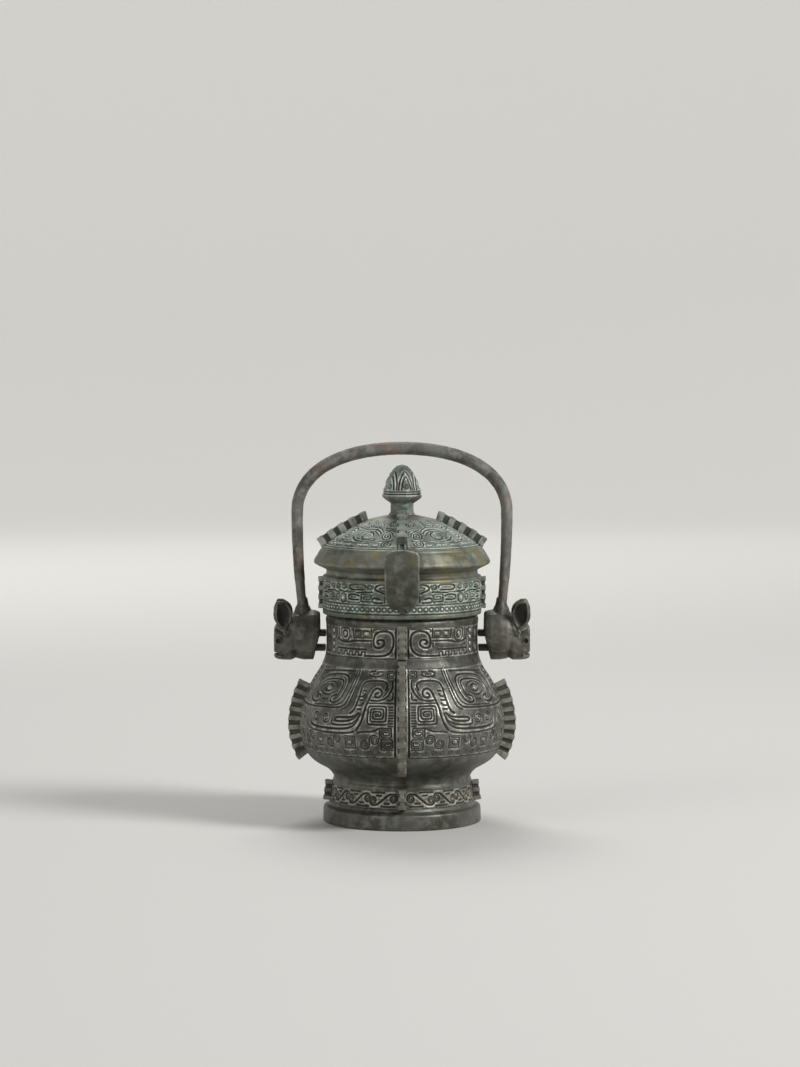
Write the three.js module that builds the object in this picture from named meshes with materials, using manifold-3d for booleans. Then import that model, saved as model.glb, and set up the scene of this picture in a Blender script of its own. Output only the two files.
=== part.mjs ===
// Bronze lidded wine vessel: oval body on a ring foot, fitted lid with a bud knob and two horn plates,
// and an arched bail that swings on two half-ring lugs hidden inside animal heads.
// Millimetres, +Z up, front towards -Y, origin at the middle of the foot's underside.
import * as THREE from "three";
import { mergeVertices } from "three/addons/utils/BufferGeometryUtils.js";
import Module from "manifold-3d";

const wasm = await Module();
wasm.setup();

// Section and fits
const depthRatio = 1.2;
const castGap = 0.3;
const ovalSegments = 36;

// Foot ring
const footHalfWidth = 58.6;
const footRimHeight = 11.5;
const footStep = 4.9;
const footBandHeight = 19.5;
const footWall = 3.7;
const footBandHalfWidth = footHalfWidth - footStep;
const footTopHeight = footRimHeight + footBandHeight;

// Belly, neck and mouth, half-widths across the sides
const bellyHalfWidth = 76;
const bellyLowerHeight = 42;
const bellyUpperHeight = 46.5;
const neckHalfWidth = 56;
const neckHeight = 33;
const mouthInset = 1.2;
const mouthRise = 27;
const wallThickness = 3.2;
const floorThickness = 4.9;
const bellyHeight = footTopHeight + bellyLowerHeight;
const waistHeight = bellyHeight + bellyUpperHeight;
const shoulderHeight = waistHeight + neckHeight;
const lipHalfWidth = neckHalfWidth - mouthInset;
const lipHeight = shoulderHeight + mouthRise;

// Lid
const lidFitGap = 0.7;
const collarWall = 3.3;
const collarHang = 1.5;
const eaveOverhang = 6.6;
const eaveRise = 12.5;
const eaveBand = 11;
const eaveSlope = 5.9;
const domeRise = 23.5;
const domeWall = 3.7;
const collarInner = lipHalfWidth + lidFitGap;
const collarHalfWidth = collarInner + collarWall;
const collarBottom = shoulderHeight + collarHang;
const collarTop = lipHeight + 2.5;
const eaveHalfWidth = collarHalfWidth + eaveOverhang;
const eaveHeight = lipHeight + eaveRise;
const domeHalfWidth = eaveHalfWidth - eaveSlope;
const domeHeight = eaveHeight + eaveBand;
const crownHeight = domeHeight + domeRise;

// Bud knob
const stemRadius = 8.6;
const stemHeight = 14.1;
const tenonRadius = 4.4;
const knobHalfWidth = 15.6;
const budHeight = 23.4;
const knobFacets = 6;
const knobTurn = 14;
const knobWidestHeight = crownHeight + stemHeight;
const knobHeight = knobWidestHeight + budHeight;

// Horn plates on the lid's long ends
const hornWidth = 25;
const hornOverhang = 13.5;
const hornRise = 13.5;
const hornRootRise = 6;
const hornReach = eaveHalfWidth * depthRatio + hornOverhang;
const hornTipHeight = eaveHeight + hornRise;
const hornRootHeight = collarBottom + hornRootRise;

// Notched flanges
const ribShare = 0.52;
const webDrop = 0.5;
const bellyFlange = {
  rise: 8.8, thickness: 5.6, web: 2.4, ribs: 9, bottom: bellyHeight - 23, top: bellyHeight + 28,
};
const frontBellyFlange = {
  ...bellyFlange, thickness: 6.2, web: 3.2, ribs: 13, bottom: bellyHeight - 25, top: waistHeight + 1.5,
};
const neckFlange = {
  rise: 6, thickness: 6.2, web: 3.2, ribs: 5, bottom: waistHeight + 4.5, top: shoulderHeight - 3.5,
};
const footFlange = {
  rise: 5.4, thickness: 5.2, web: 2.4, ribs: 3, bottom: footRimHeight + 3, top: footTopHeight - 1.5,
};
const domeFlange = { rise: 6.8, thickness: 7.6, web: 3.2, ribs: 5, inner: 25, outer: domeHalfWidth - 0.1 };
const frontDomeFlange = {
  ...domeFlange, ribs: 6, inner: stemRadius + 5.2, outer: (domeHalfWidth - 7) * depthRatio,
};
const collarFlange = {
  rise: 3.2, thickness: 5.6, web: 2.4, ribs: 4, bottom: collarBottom + 3.5, top: collarTop - 1,
};

// Lugs and the bail's eyes
const pivotDrop = 13.5;
const headClearance = 4.6;
const lugWire = 2.8;
const lugRungGap = 1.1;
const pivotPlay = 0.5;
const eyeWidth = 6.2;
const eyeWall = 3.6;
const shankHalfWidth = 3.8;
const pivotHeight = shoulderHeight - pivotDrop;
const headBack = neckHalfWidth + headClearance;
const eyeInner = headBack + 9.8;
const eyeOuter = eyeInner + eyeWidth;
const eyeRadius = lugWire + pivotPlay + eyeWall;
const lugDrop = eyeRadius + lugWire + lugRungGap;
const lugReach = eyeOuter + lugWire + 0.8;

// Bail
const knobClearance = 7.2;
const bailThickness = 9.3;
const bailLegThickness = 6.8;
const bailWidth = 11.5;
const bailSideClearance = 7.55;
const bailArchRise = 46.85;
const bailSquareness = 0.613;
const bailTopHeight = knobHeight + knobClearance + bailThickness;
const bailHalfSpan = eaveHalfWidth + bailSideClearance + bailThickness / 2;
const bailFootHalfSpan = eyeInner + eyeWidth / 2;

// Animal heads
const headWall = 3.1;
const muzzleLength = 11;
const jawDrop = 2.6;
const mouthDrop = 13.8;
const mouthGap = 1.4;
const mouthDepth = 3.8;
const napeLean = 0.26;
const earHeight = 21.4;
const earWidth = 13.2;
const earDepth = 7.2;
const earSpread = 13.4;
const earRise = 3;
const headCavityRadius = lugDrop + lugWire + 0.6;
const headRadius = headCavityRadius + headWall;
const headCavityEnd = lugReach + lugWire + 0.7;
const muzzleReach = headCavityEnd + muzzleLength;
const bailFootHeight = pivotHeight + headCavityRadius + 1.4;

const bronze = { color: 0x4f4a3c, roughness: 0.55, metalness: 0.85 };
const bronzeWorn = { color: 0x5d563f, roughness: 0.5, metalness: 0.85 };
const bronzeGreen = { color: 0x4a5546, roughness: 0.65, metalness: 0.7 };

function toSolid(geometry) {
  const bare = geometry.clone();
  bare.deleteAttribute("normal");
  bare.deleteAttribute("uv");
  const merged = mergeVertices(bare, 1e-4);
  const vertProperties = merged.attributes.position.array;
  const triVerts = new Uint32Array(merged.index.array);
  return new wasm.Manifold(new wasm.Mesh({ numProp: 3, vertProperties, triVerts }));
}

function toGeometry(solid) {
  const mesh = solid.getMesh();
  const geometry = new THREE.BufferGeometry();
  geometry.setAttribute("position", new THREE.BufferAttribute(new Float32Array(mesh.vertProperties), 3));
  geometry.setIndex(new THREE.BufferAttribute(new Uint32Array(mesh.triVerts), 1));
  return geometry;
}

function smooth(points, steps) {
  const curve = new THREE.SplineCurve(points.map(([r, z]) => new THREE.Vector2(r, z)));
  return curve.getPoints(steps).map((point) => [point.x, point.y]);
}

// Profiles run from the underside outwards, up the outside and back in.
function ovalSolid(profile, ratio = depthRatio, segments = ovalSegments) {
  const points = profile.map(([r, z]) => new THREE.Vector2(r, z));
  const geometry = new THREE.LatheGeometry(points, segments);
  geometry.rotateX(Math.PI / 2);
  geometry.scale(1, ratio, 1);
  return toSolid(geometry);
}

// Turned about the X axis at the pivot's height, profile as [x, radius].
function turnedOnPivot(profile, segments) {
  const points = profile.map(([x, r]) => new THREE.Vector2(r, x));
  const geometry = new THREE.LatheGeometry(points, segments);
  geometry.rotateZ(-Math.PI / 2);
  geometry.translate(0, 0, pivotHeight);
  return toSolid(geometry);
}

function boxSolid(from, to) {
  const size = to.map((value, axis) => value - from[axis]);
  const geometry = new THREE.BoxGeometry(...size);
  geometry.translate(...to.map((value, axis) => (value + from[axis]) / 2));
  return toSolid(geometry);
}

// An outline drawn in a plane that holds Z, thickened evenly to both sides.
function plateSolid(outline, thickness, outward) {
  const shape = new THREE.Shape(outline.map(([u, z]) => new THREE.Vector2(u, z)));
  const geometry = new THREE.ExtrudeGeometry(shape, { depth: thickness, bevelEnabled: false });
  geometry.translate(0, 0, -thickness / 2);
  const up = new THREE.Vector3(0, 0, 1);
  const across = new THREE.Vector3().crossVectors(outward, up);
  geometry.applyMatrix4(new THREE.Matrix4().makeBasis(outward, up, across));
  return toSolid(geometry);
}

// Rings of points with equal counts, closed at both ends.
function loftSolid(rings) {
  const count = rings[0].length;
  const vertices = rings.flat();
  const faces = [];
  for (let ring = 0; ring + 1 < rings.length; ring += 1) {
    for (let step = 0; step < count; step += 1) {
      const a = ring * count + step;
      const b = ring * count + ((step + 1) % count);
      faces.push(a, b, b + count, a, b + count, a + count);
    }
  }
  for (const [ring, flip] of [[0, true], [rings.length - 1, false]]) {
    const middle = vertices.length;
    const sum = rings[ring].reduce((total, point) => total.map((value, axis) => value + point[axis]), [0, 0, 0]);
    vertices.push(sum.map((value) => value / count));
    for (let step = 0; step < count; step += 1) {
      const a = ring * count + step;
      const b = ring * count + ((step + 1) % count);
      if (flip) faces.push(b, a, middle);
      else faces.push(a, b, middle);
    }
  }
  const geometry = new THREE.BufferGeometry();
  geometry.setAttribute("position", new THREE.Float32BufferAttribute(vertices.flat(), 3));
  geometry.setIndex(faces);
  return toSolid(geometry);
}

const sides = {
  front: { outward: new THREE.Vector3(0, -1, 0), ratio: depthRatio },
  rear: { outward: new THREE.Vector3(0, 1, 0), ratio: depthRatio },
  left: { outward: new THREE.Vector3(-1, 0, 0), ratio: 1 },
  right: { outward: new THREE.Vector3(1, 0, 0), ratio: 1 },
};

// Vessel body
const footOutline = [
  [footHalfWidth - footWall, 0],
  [footHalfWidth, 0],
  [footHalfWidth - 0.3, footRimHeight - 0.6],
  [footHalfWidth - 0.9, footRimHeight],
  [footBandHalfWidth + 0.8, footRimHeight + 1],
  [footBandHalfWidth, footRimHeight + 2.2],
  [footBandHalfWidth - 1.3, (footRimHeight + footTopHeight) / 2],
  [footBandHalfWidth - 2.2, footTopHeight],
];
const footNeck = footBandHalfWidth - 3.4;
const lowerBelly = (width, height) => [
  footNeck + width * (bellyHalfWidth - footNeck),
  footTopHeight + 1.5 + height * (bellyLowerHeight - 1.5),
];
const upperBelly = (width, height) => [
  neckHalfWidth + width * (bellyHalfWidth - neckHalfWidth),
  bellyHeight + height * bellyUpperHeight,
];
const bellyOutline = smooth([
  lowerBelly(0, 0),
  lowerBelly(0.144, 0.148),
  lowerBelly(0.525, 0.294),
  lowerBelly(0.774, 0.442),
  lowerBelly(0.938, 0.704),
  upperBelly(1, 0),
  upperBelly(0.87, 0.344),
  upperBelly(0.655, 0.568),
  upperBelly(0.43, 0.742),
  upperBelly(0.23, 0.871),
  upperBelly(0.1, 1),
  [neckHalfWidth + 0.6, waistHeight + 0.15 * neckHeight],
  [neckHalfWidth, waistHeight + 0.42 * neckHeight],
  [neckHalfWidth + 0.2, shoulderHeight - 6],
], 21);
const mouthOutline = [
  [neckHalfWidth + 0.5, shoulderHeight - 4],
  [neckHalfWidth + 0.3, shoulderHeight - 0.8],
  [lipHalfWidth, shoulderHeight + 0.6],
  [lipHalfWidth, lipHeight - 0.6],
  [lipHalfWidth - 0.6, lipHeight],
  [lipHalfWidth - wallThickness, lipHeight],
];
const inWall = ([r, z]) => [r - wallThickness, z];
const floorHeight = footTopHeight + 0.6 + floorThickness;
const bellyHollow = smooth([
  [lipHalfWidth - wallThickness, shoulderHeight - 4],
  inWall([neckHalfWidth, waistHeight + 0.36 * neckHeight]),
  inWall(upperBelly(0.08, 1.03)),
  inWall(upperBelly(0.44, 0.715)),
  inWall(upperBelly(0.645, 0.56)),
  inWall(upperBelly(1, 0)),
  inWall(lowerBelly(0.77, 0.49)),
  [0.72 * bellyHalfWidth - wallThickness, floorHeight + 6.5],
  [0.4 * bellyHalfWidth, floorHeight + 1],
  [0, floorHeight],
], 10);
const footHollow = [
  [0, footTopHeight + 0.6],
  [footBandHalfWidth - 28, footTopHeight + 0.6],
  [footBandHalfWidth - 12, footTopHeight - 0.4],
  [footBandHalfWidth - 6.4, footTopHeight - 4],
  [footBandHalfWidth - footWall - 0.4, footRimHeight + 2],
  [footHalfWidth - footWall - 0.2, footRimHeight - 1.6],
];
const vesselProfile = [...footHollow, ...footOutline, ...bellyOutline, ...mouthOutline, ...bellyHollow];
const vesselBody = ovalSolid(vesselProfile);

// Lid shell
const shelfInner = lipHalfWidth - wallThickness + 0.6;
const lidHollow = smooth([
  [0, crownHeight - domeWall],
  [15, crownHeight - domeWall - 0.7],
  [0.47 * domeHalfWidth, crownHeight - domeWall - 0.2 * domeRise],
  [domeHalfWidth - 10.5, domeHeight + 0.05 * domeRise],
  [domeHalfWidth - 5.4, domeHeight - 3.6],
], 6);
const lidSkirt = [
  [domeHalfWidth - 5, eaveHeight + 2],
  [shelfInner, collarTop + 4],
  [shelfInner, lipHeight + castGap],
  [collarInner, lipHeight + castGap],
  [collarInner, collarBottom],
  [collarHalfWidth - 0.4, collarBottom],
  [collarHalfWidth, collarBottom + 0.6],
  [collarHalfWidth, collarTop - 0.5],
  [collarHalfWidth - 0.5, collarTop],
  [collarHalfWidth - 2.8, collarTop + 1.2],
  [collarHalfWidth - 2.8, collarTop + 4.6],
  [eaveHalfWidth - 0.9, eaveHeight - 1.2],
  [eaveHalfWidth, eaveHeight - 0.2],
  [eaveHalfWidth - 0.2, eaveHeight + 1.2],
  [domeHalfWidth + 1, domeHeight - 1.8],
  [domeHalfWidth, domeHeight - 1.2],
];
const onDome = (width, height) => [width * domeHalfWidth, domeHeight + height * domeRise];
const domeOutline = smooth([
  [domeHalfWidth, domeHeight + 0.2],
  onDome(0.84, 0.285),
  onDome(0.69, 0.52),
  onDome(0.454, 0.826),
  [18, crownHeight - 1.6],
  [10.5, crownHeight],
], 10);
const lidProfile = [...lidHollow, ...lidSkirt, ...domeOutline, [0, crownHeight]];
const crownBore = toSolid(
  new THREE.CylinderGeometry(tenonRadius + castGap, tenonRadius + castGap, 20, 20)
    .rotateX(Math.PI / 2)
    .translate(0, 0, crownHeight - 2),
);
const lidShell = ovalSolid(lidProfile).subtract(crownBore);

// Knob: six-sided bud over a round stem, with a tenon riveted inside the crown
const budOutline = [
  [0, knobWidestHeight - 7.6],
  [stemRadius - 1.2, knobWidestHeight - 6.4],
  [knobHalfWidth - 1.4, knobWidestHeight - 2],
  [knobHalfWidth, knobWidestHeight],
  [knobHalfWidth - 1.1, knobWidestHeight + 5.4],
  [knobHalfWidth - 3.5, knobWidestHeight + 11.8],
  [knobHalfWidth - 7, knobWidestHeight + 18.2],
  [knobHalfWidth - 11.4, knobHeight - 1.2],
  [0, knobHeight],
];
const stemOutline = [
  [0, crownHeight - domeWall - 2.7],
  [tenonRadius + 1.8, crownHeight - domeWall - 2.7],
  [tenonRadius + 1.8, crownHeight - domeWall - castGap],
  [tenonRadius, crownHeight - domeWall - castGap],
  [tenonRadius, crownHeight + castGap],
  [stemRadius + 1.6, crownHeight + castGap],
  [stemRadius + 0.2, crownHeight + 2],
  [stemRadius, crownHeight + 4.4],
  [stemRadius, knobWidestHeight - 5],
  [0, knobWidestHeight - 5],
];
const bud = ovalSolid(budOutline, 1, knobFacets).rotate([0, 0, knobTurn]);
const lidKnob = bud.add(ovalSolid(stemOutline, 1, 18));

// Notched flanges: a thin web with full-width ribs, both following the wall they stand on
function scaled(profile, side) {
  return profile.map(([r, z]) => [r * sides[side].ratio, z]);
}

// The part of a run between two values of one coordinate (0 reach, 1 height), cut exactly at both.
function cutRun(run, axis, from, to) {
  const low = Math.min(from, to);
  const high = Math.max(from, to);
  const cut = [];
  for (let step = 0; step < run.length; step += 1) {
    if (step > 0) {
      const [a, b] = [run[step - 1], run[step]];
      for (const limit of b[axis] > a[axis] ? [low, high] : [high, low]) {
        const share = (limit - a[axis]) / (b[axis] - a[axis]);
        if (share > 0 && share < 1) cut.push([0, 1].map((i) => a[i] + share * (b[i] - a[i])));
      }
    }
    if (run[step][axis] >= low && run[step][axis] <= high) cut.push(run[step]);
  }
  return cut;
}

function lengthsAlong(run) {
  const lengths = [0];
  for (let step = 1; step < run.length; step += 1) {
    const [du, dz] = [run[step][0] - run[step - 1][0], run[step][1] - run[step - 1][1]];
    lengths.push(lengths[step - 1] + Math.hypot(du, dz));
  }
  return lengths;
}

function normalsAlong(run) {
  return run.map((_, step) => {
    const [a, b] = [run[Math.max(step - 1, 0)], run[Math.min(step + 1, run.length - 1)]];
    const span = Math.hypot(b[0] - a[0], b[1] - a[1]);
    return [(b[1] - a[1]) / span, -(b[0] - a[0]) / span];
  });
}

function pointAlong(run, lengths, normals, share) {
  const target = share * lengths[lengths.length - 1];
  let step = 1;
  while (step < run.length - 1 && lengths[step] < target) step += 1;
  const part = (target - lengths[step - 1]) / (lengths[step] - lengths[step - 1]);
  const between = (pair) => [0, 1].map((axis) => pair[0][axis] + part * (pair[1][axis] - pair[0][axis]));
  const at = between([run[step - 1], run[step]]);
  return { at, normal: between([normals[step - 1], normals[step]]) };
}

// Keeps every corner of the wall's run, so the strip's foot stays an even gap off the wall.
function stripOutline(run, from, to, low, high) {
  const lengths = lengthsAlong(run);
  const normals = normalsAlong(run);
  const corners = lengths.map((length) => length / lengths[lengths.length - 1]);
  const shares = [from, ...corners.filter((share) => share > from + 0.003 && share < to - 0.003), to];
  const inner = [];
  const outer = [];
  for (const share of shares) {
    const { at, normal } = pointAlong(run, lengths, normals, share);
    inner.push([at[0] + low * normal[0], at[1] + low * normal[1]]);
    outer.unshift([at[0] + high * normal[0], at[1] + high * normal[1]]);
  }
  return [...outer, ...inner].reverse();
}

function flangeSolid(run, size, side) {
  const outward = sides[side].outward;
  const webOutline = stripOutline(run, 0.004, 0.996, castGap, size.rise - webDrop);
  let flange = plateSolid(webOutline, size.web, outward);
  const pitch = 1 / (size.ribs - 1 + ribShare);
  for (let rib = 0; rib < size.ribs; rib += 1) {
    const outline = stripOutline(run, rib * pitch, (rib + ribShare) * pitch, castGap, size.rise);
    flange = flange.add(plateSolid(outline, size.thickness, outward));
  }
  return flange;
}

const bodyOutside = [...footOutline.slice(4), ...bellyOutline, ...mouthOutline.slice(0, 2)];

function bodyRun(side, size) {
  return cutRun(scaled(bodyOutside, side), 1, size.bottom, size.top);
}

function domeRun(side, inner, outer) {
  return cutRun(scaled(domeOutline, side), 0, inner, outer);
}

const collarRun = [[collarHalfWidth, collarFlange.bottom], [collarHalfWidth, collarFlange.top]];

// Horn plate: side outline and front outline cut against each other, root shaped to the collar
function hornSolid(side) {
  const { outward, ratio } = sides[side];
  const collarOut = collarHalfWidth * ratio;
  const eaveOut = eaveHalfWidth * ratio;
  const outerFace = smooth([
    [collarOut - 4, hornRootHeight],
    [collarOut + 3, hornRootHeight + 1.6],
    [eaveOut + 1, hornRootHeight + 9.5],
    [hornReach - 5.6, hornRootHeight + 20.5],
    [hornReach - 1.8, hornRootHeight + 33],
    [hornReach, hornTipHeight],
  ], 10);
  const innerFace = smooth([
    [hornReach - 2.2, hornTipHeight + 0.3],
    [hornReach - 4.8, hornRootHeight + 33.6],
    [eaveOut + 4.2, hornRootHeight + 24.5],
    [eaveOut - 1.6, hornRootHeight + 18],
    [collarOut + 2.6, hornRootHeight + 15],
    [collarOut - 4, hornRootHeight + 15],
  ], 10);
  const curved = plateSolid([...outerFace, ...innerFace], hornWidth, outward);
  const half = hornWidth / 2;
  const tongue = smooth([
    [half * 0.42, hornRootHeight - 1],
    [half * 0.8, hornRootHeight + 4.5],
    [half * 0.97, hornRootHeight + 11],
    [half, hornRootHeight + 20],
    [half, hornTipHeight - 4.4],
    [half * 0.62, hornTipHeight - 0.9],
    [0, hornTipHeight + 0.4],
  ], 12);
  const mirrored = tongue.slice(0, -1).reverse().map(([x, z]) => [-x, z]);
  const across = new THREE.Vector3(0, 0, 1).cross(outward).negate();
  const face = plateSolid([...tongue, ...mirrored], 60, across);
  const placed = face.translate(outward.clone().multiplyScalar(hornReach - 20).toArray());
  const keepOut = ovalSolid([
    [0, collarBottom - 4],
    [collarHalfWidth + castGap, collarBottom - 4],
    [collarHalfWidth + castGap, collarTop + 6],
    [0, collarTop + 6],
  ]);
  return curved.intersect(placed).subtract(keepOut);
}

// Half-ring lug: its upper rung is the pivot, its ends are let into the neck's curve
function lugSolid(sign) {
  const corner = lugWire + 0.6;
  const inside = neckHalfWidth - 4;
  const path = new THREE.CurvePath();
  const at = (x, z) => new THREE.Vector3(sign * x, 0, z);
  const low = pivotHeight - lugDrop;
  path.add(new THREE.LineCurve3(at(inside, pivotHeight), at(lugReach - corner, pivotHeight)));
  path.add(new THREE.QuadraticBezierCurve3(
    at(lugReach - corner, pivotHeight), at(lugReach, pivotHeight), at(lugReach, pivotHeight - corner),
  ));
  path.add(new THREE.LineCurve3(at(lugReach, pivotHeight - corner), at(lugReach, low + corner)));
  path.add(new THREE.QuadraticBezierCurve3(
    at(lugReach, low + corner), at(lugReach, low), at(lugReach - corner, low),
  ));
  path.add(new THREE.LineCurve3(at(lugReach - corner, low), at(inside, low)));
  const section = new THREE.Shape();
  section.absellipse(0, 0, lugWire, lugWire, 0, 2 * Math.PI);
  const options = { steps: 18, curveSegments: 4, bevelEnabled: false, extrudePath: path };
  const loop = toSolid(new THREE.ExtrudeGeometry(section, options));
  const outside = vesselProfile.slice(footHollow.length, -bellyHollow.length);
  const grown = outside.map(([r, z]) => [r + castGap, z]).concat([[0, lipHeight]]);
  const keepOut = ovalSolid(grown.toSpliced(0, 1, [0, 0], [footHalfWidth, 0]));
  return loop.subtract(keepOut);
}

// Bail: arched strap whose ends narrow to eyes riding on the lugs
const bailCrown = bailTopHeight - bailThickness / 2;
const bailSpringHeight = bailCrown - bailArchRise;
const bailLean = bailSpringHeight - 0.51 * (bailSpringHeight - bailFootHeight);
const bailPath = new THREE.CurvePath();
const onBail = (x, z) => new THREE.Vector3(x, 0, z);
bailPath.add(new THREE.QuadraticBezierCurve3(
  onBail(-bailFootHalfSpan, bailFootHeight),
  onBail(-bailHalfSpan, bailLean),
  onBail(-bailHalfSpan, bailSpringHeight),
));
bailPath.add(new THREE.CubicBezierCurve3(
  onBail(-bailHalfSpan, bailSpringHeight),
  onBail(-bailHalfSpan, bailSpringHeight + bailSquareness * bailArchRise),
  onBail(-bailHalfSpan * bailSquareness, bailCrown),
  onBail(0, bailCrown),
));
bailPath.add(new THREE.CubicBezierCurve3(
  onBail(0, bailCrown),
  onBail(bailHalfSpan * bailSquareness, bailCrown),
  onBail(bailHalfSpan, bailSpringHeight + bailSquareness * bailArchRise),
  onBail(bailHalfSpan, bailSpringHeight),
));
bailPath.add(new THREE.QuadraticBezierCurve3(
  onBail(bailHalfSpan, bailSpringHeight),
  onBail(bailHalfSpan, bailLean),
  onBail(bailFootHalfSpan, bailFootHeight),
));
// The strap is thickest over the knob and thins down its legs.
function strapRing(share) {
  const middle = bailPath.getPointAt(share);
  const along = bailPath.getTangentAt(share);
  const height = (middle.z - bailFootHeight) / (bailCrown - bailFootHeight);
  const half = (bailLegThickness + (bailThickness - bailLegThickness) * height) / 2;
  const points = [];
  for (let step = 0; step < 12; step += 1) {
    const angle = (2 * Math.PI * step) / 12;
    const out = half * Math.cos(angle);
    points.push([middle.x - along.z * out, (-bailWidth / 2) * Math.sin(angle), middle.z + along.x * out]);
  }
  return points;
}

const strapSteps = 30;
const strap = loftSolid(Array.from({ length: strapSteps + 1 }, (_, step) => strapRing(step / strapSteps)));

function bailEnd(sign) {
  const middle = (sign * (eyeInner + eyeOuter)) / 2;
  const long = eyeOuter - eyeInner;
  const disc = new THREE.CylinderGeometry(eyeRadius, eyeRadius, long, 24).rotateZ(Math.PI / 2);
  const eye = toSolid(disc.translate(middle, 0, pivotHeight));
  const [near, far] = [sign * eyeInner, sign * eyeOuter].sort((a, b) => a - b);
  const shank = boxSolid([near, -shankHalfWidth, pivotHeight + 2], [far, shankHalfWidth, bailFootHeight + 4]);
  return eye.add(shank);
}

function eyeBore(sign) {
  const bore = lugWire + pivotPlay;
  const hole = new THREE.CylinderGeometry(bore, bore, 30, 20).rotateZ(Math.PI / 2);
  return toSolid(hole.translate((sign * (eyeInner + eyeOuter)) / 2, 0, pivotHeight));
}

const bailHandle = strap.add(bailEnd(-1)).add(bailEnd(1)).subtract(eyeBore(-1)).subtract(eyeBore(1));

// Animal head: hollow barrel round the lug, blunt muzzle, two cupped ears
function muzzleRing(x, halfWidth, bottom, top) {
  const points = [];
  for (let step = 0; step < 14; step += 1) {
    const angle = (2 * Math.PI * step) / 14;
    const [c, s] = [Math.cos(angle), Math.sin(angle)];
    const round = (value) => Math.sign(value) * Math.abs(value) ** 0.7;
    points.push([x, halfWidth * round(c), (top + bottom) / 2 + ((top - bottom) / 2) * round(s)]);
  }
  return points;
}

// Each ear is an upright leaf hollowed from its own side of the head.
function earSolid(face) {
  const middle = muzzleReach - earWidth / 2;
  const low = pivotHeight + earRise;
  const ring = (up, lean, wide, out, deep) => {
    const points = [];
    for (let step = 0; step < 10; step += 1) {
      const angle = (2 * Math.PI * step) / 10;
      points.push([
        middle + lean + wide * (earWidth / 2) * Math.cos(angle),
        face * (earSpread + out) + deep * (earDepth / 2) * Math.sin(angle),
        low + up * earHeight,
      ]);
    }
    return points;
  };
  const leaf = loftSolid([
    ring(0, -1.5, 0.3, -1.8, 0.45),
    ring(0.19, -0.6, 0.7, -1, 0.75),
    ring(0.4, 0, 0.96, -0.4, 0.95),
    ring(0.63, 0, 1, 0.2, 1),
    ring(0.84, 0.8, 0.8, 0.6, 0.9),
    ring(1, 2.4, 0.32, 0.8, 0.5),
  ]);
  const dish = loftSolid([
    ring(0.14, -1.6, 0.3, 2.2, 0.6),
    ring(0.36, -0.9, 0.68, 2, 0.95),
    ring(0.63, -0.8, 0.74, 2.4, 1),
    ring(0.92, 0.6, 0.44, 2.8, 0.8),
  ]);
  return leaf.subtract(dish);
}

function headSolid(sign) {
  const barrel = turnedOnPivot([
    [headBack, 0],
    [headBack, headCavityRadius + 0.9],
    [headBack + 1.4, headRadius - 1],
    [headBack + 4.6, headRadius],
    [headBack + 12, headRadius],
    [headBack + 17, headRadius - 0.8],
    [headCavityEnd + 2.4, headRadius - 4.4],
    [headCavityEnd + 2.4, 0],
  ], 20).warp((point) => {
    if (point[2] < pivotHeight) point[2] += (point[2] - pivotHeight) * (jawDrop / headRadius);
  });
  const jaw = pivotHeight - headRadius - jawDrop;
  const muzzle = loftSolid([
    muzzleRing(headBack + 14, 12, jaw + 4, pivotHeight + 12),
    muzzleRing(headCavityEnd - 2, headRadius - 2.6, jaw, pivotHeight + headRadius - 5.6),
    muzzleRing(muzzleReach - 8.2, 12.9, jaw, pivotHeight + 3),
    muzzleRing(muzzleReach - 4, 12, jaw + 0.4, pivotHeight + 4.8),
    muzzleRing(muzzleReach - 1, 11, jaw + 1.2, pivotHeight + 6.3),
    muzzleRing(muzzleReach, 8.8, jaw + 2.6, pivotHeight + 4.4),
  ]);
  const mouth = boxSolid(
    [muzzleReach - mouthDepth, -headRadius, pivotHeight - mouthDrop - mouthGap],
    [muzzleReach + 2, headRadius, pivotHeight - mouthDrop],
  );
  const backFall = headRadius + jawDrop + 4;
  const backSlope = plateSolid([
    [headBack - 4, pivotHeight],
    [headBack, pivotHeight],
    [headBack + napeLean * backFall, pivotHeight - backFall],
    [headBack - 4, pivotHeight - backFall],
  ], 4 * headRadius, new THREE.Vector3(1, 0, 0));
  const collarRing = (grow, z) => {
    const points = [];
    for (let step = 0; step < 12; step += 1) {
      const angle = (2 * Math.PI * step) / 12;
      const [c, s] = [Math.cos(angle), Math.sin(angle)];
      points.push([bailFootHalfSpan + (bailLegThickness / 2 + grow) * c, (bailWidth / 2 + grow) * s, z]);
    }
    return points;
  };
  const strapCollar = loftSolid([
    collarRing(3.4, pivotHeight + headCavityRadius - 0.6),
    collarRing(2.5, pivotHeight + headRadius + 0.8),
    collarRing(1.8, pivotHeight + headRadius + 2.6),
  ]);
  const cavity = turnedOnPivot([
    [headBack - 4, 0],
    [headBack - 4, headCavityRadius],
    [headCavityEnd - 3, headCavityRadius],
    [headCavityEnd, headCavityRadius - 3],
    [headCavityEnd, 0],
  ], 20);
  const strapHalf = bailLegThickness / 2;
  const strapRoom = boxSolid(
    [bailFootHalfSpan - strapHalf - castGap, -bailWidth / 2 - castGap, pivotHeight + 8],
    [bailFootHalfSpan + strapHalf + castGap + 0.5, bailWidth / 2 + castGap, pivotHeight + 40],
  );
  const head = barrel.add(muzzle).add(strapCollar).add(earSolid(-1)).add(earSolid(1))
    .subtract(mouth).subtract(cavity).subtract(strapRoom).subtract(backSlope);
  return sign > 0 ? head : head.mirror([1, 0, 0]);
}

const part = new THREE.Group();
part.name = "bronze_wine_vessel";

function addNode(name, solid, look) {
  const mesh = new THREE.Mesh(toGeometry(solid), new THREE.MeshStandardMaterial(look));
  mesh.name = name;
  part.add(mesh);
}

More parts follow.
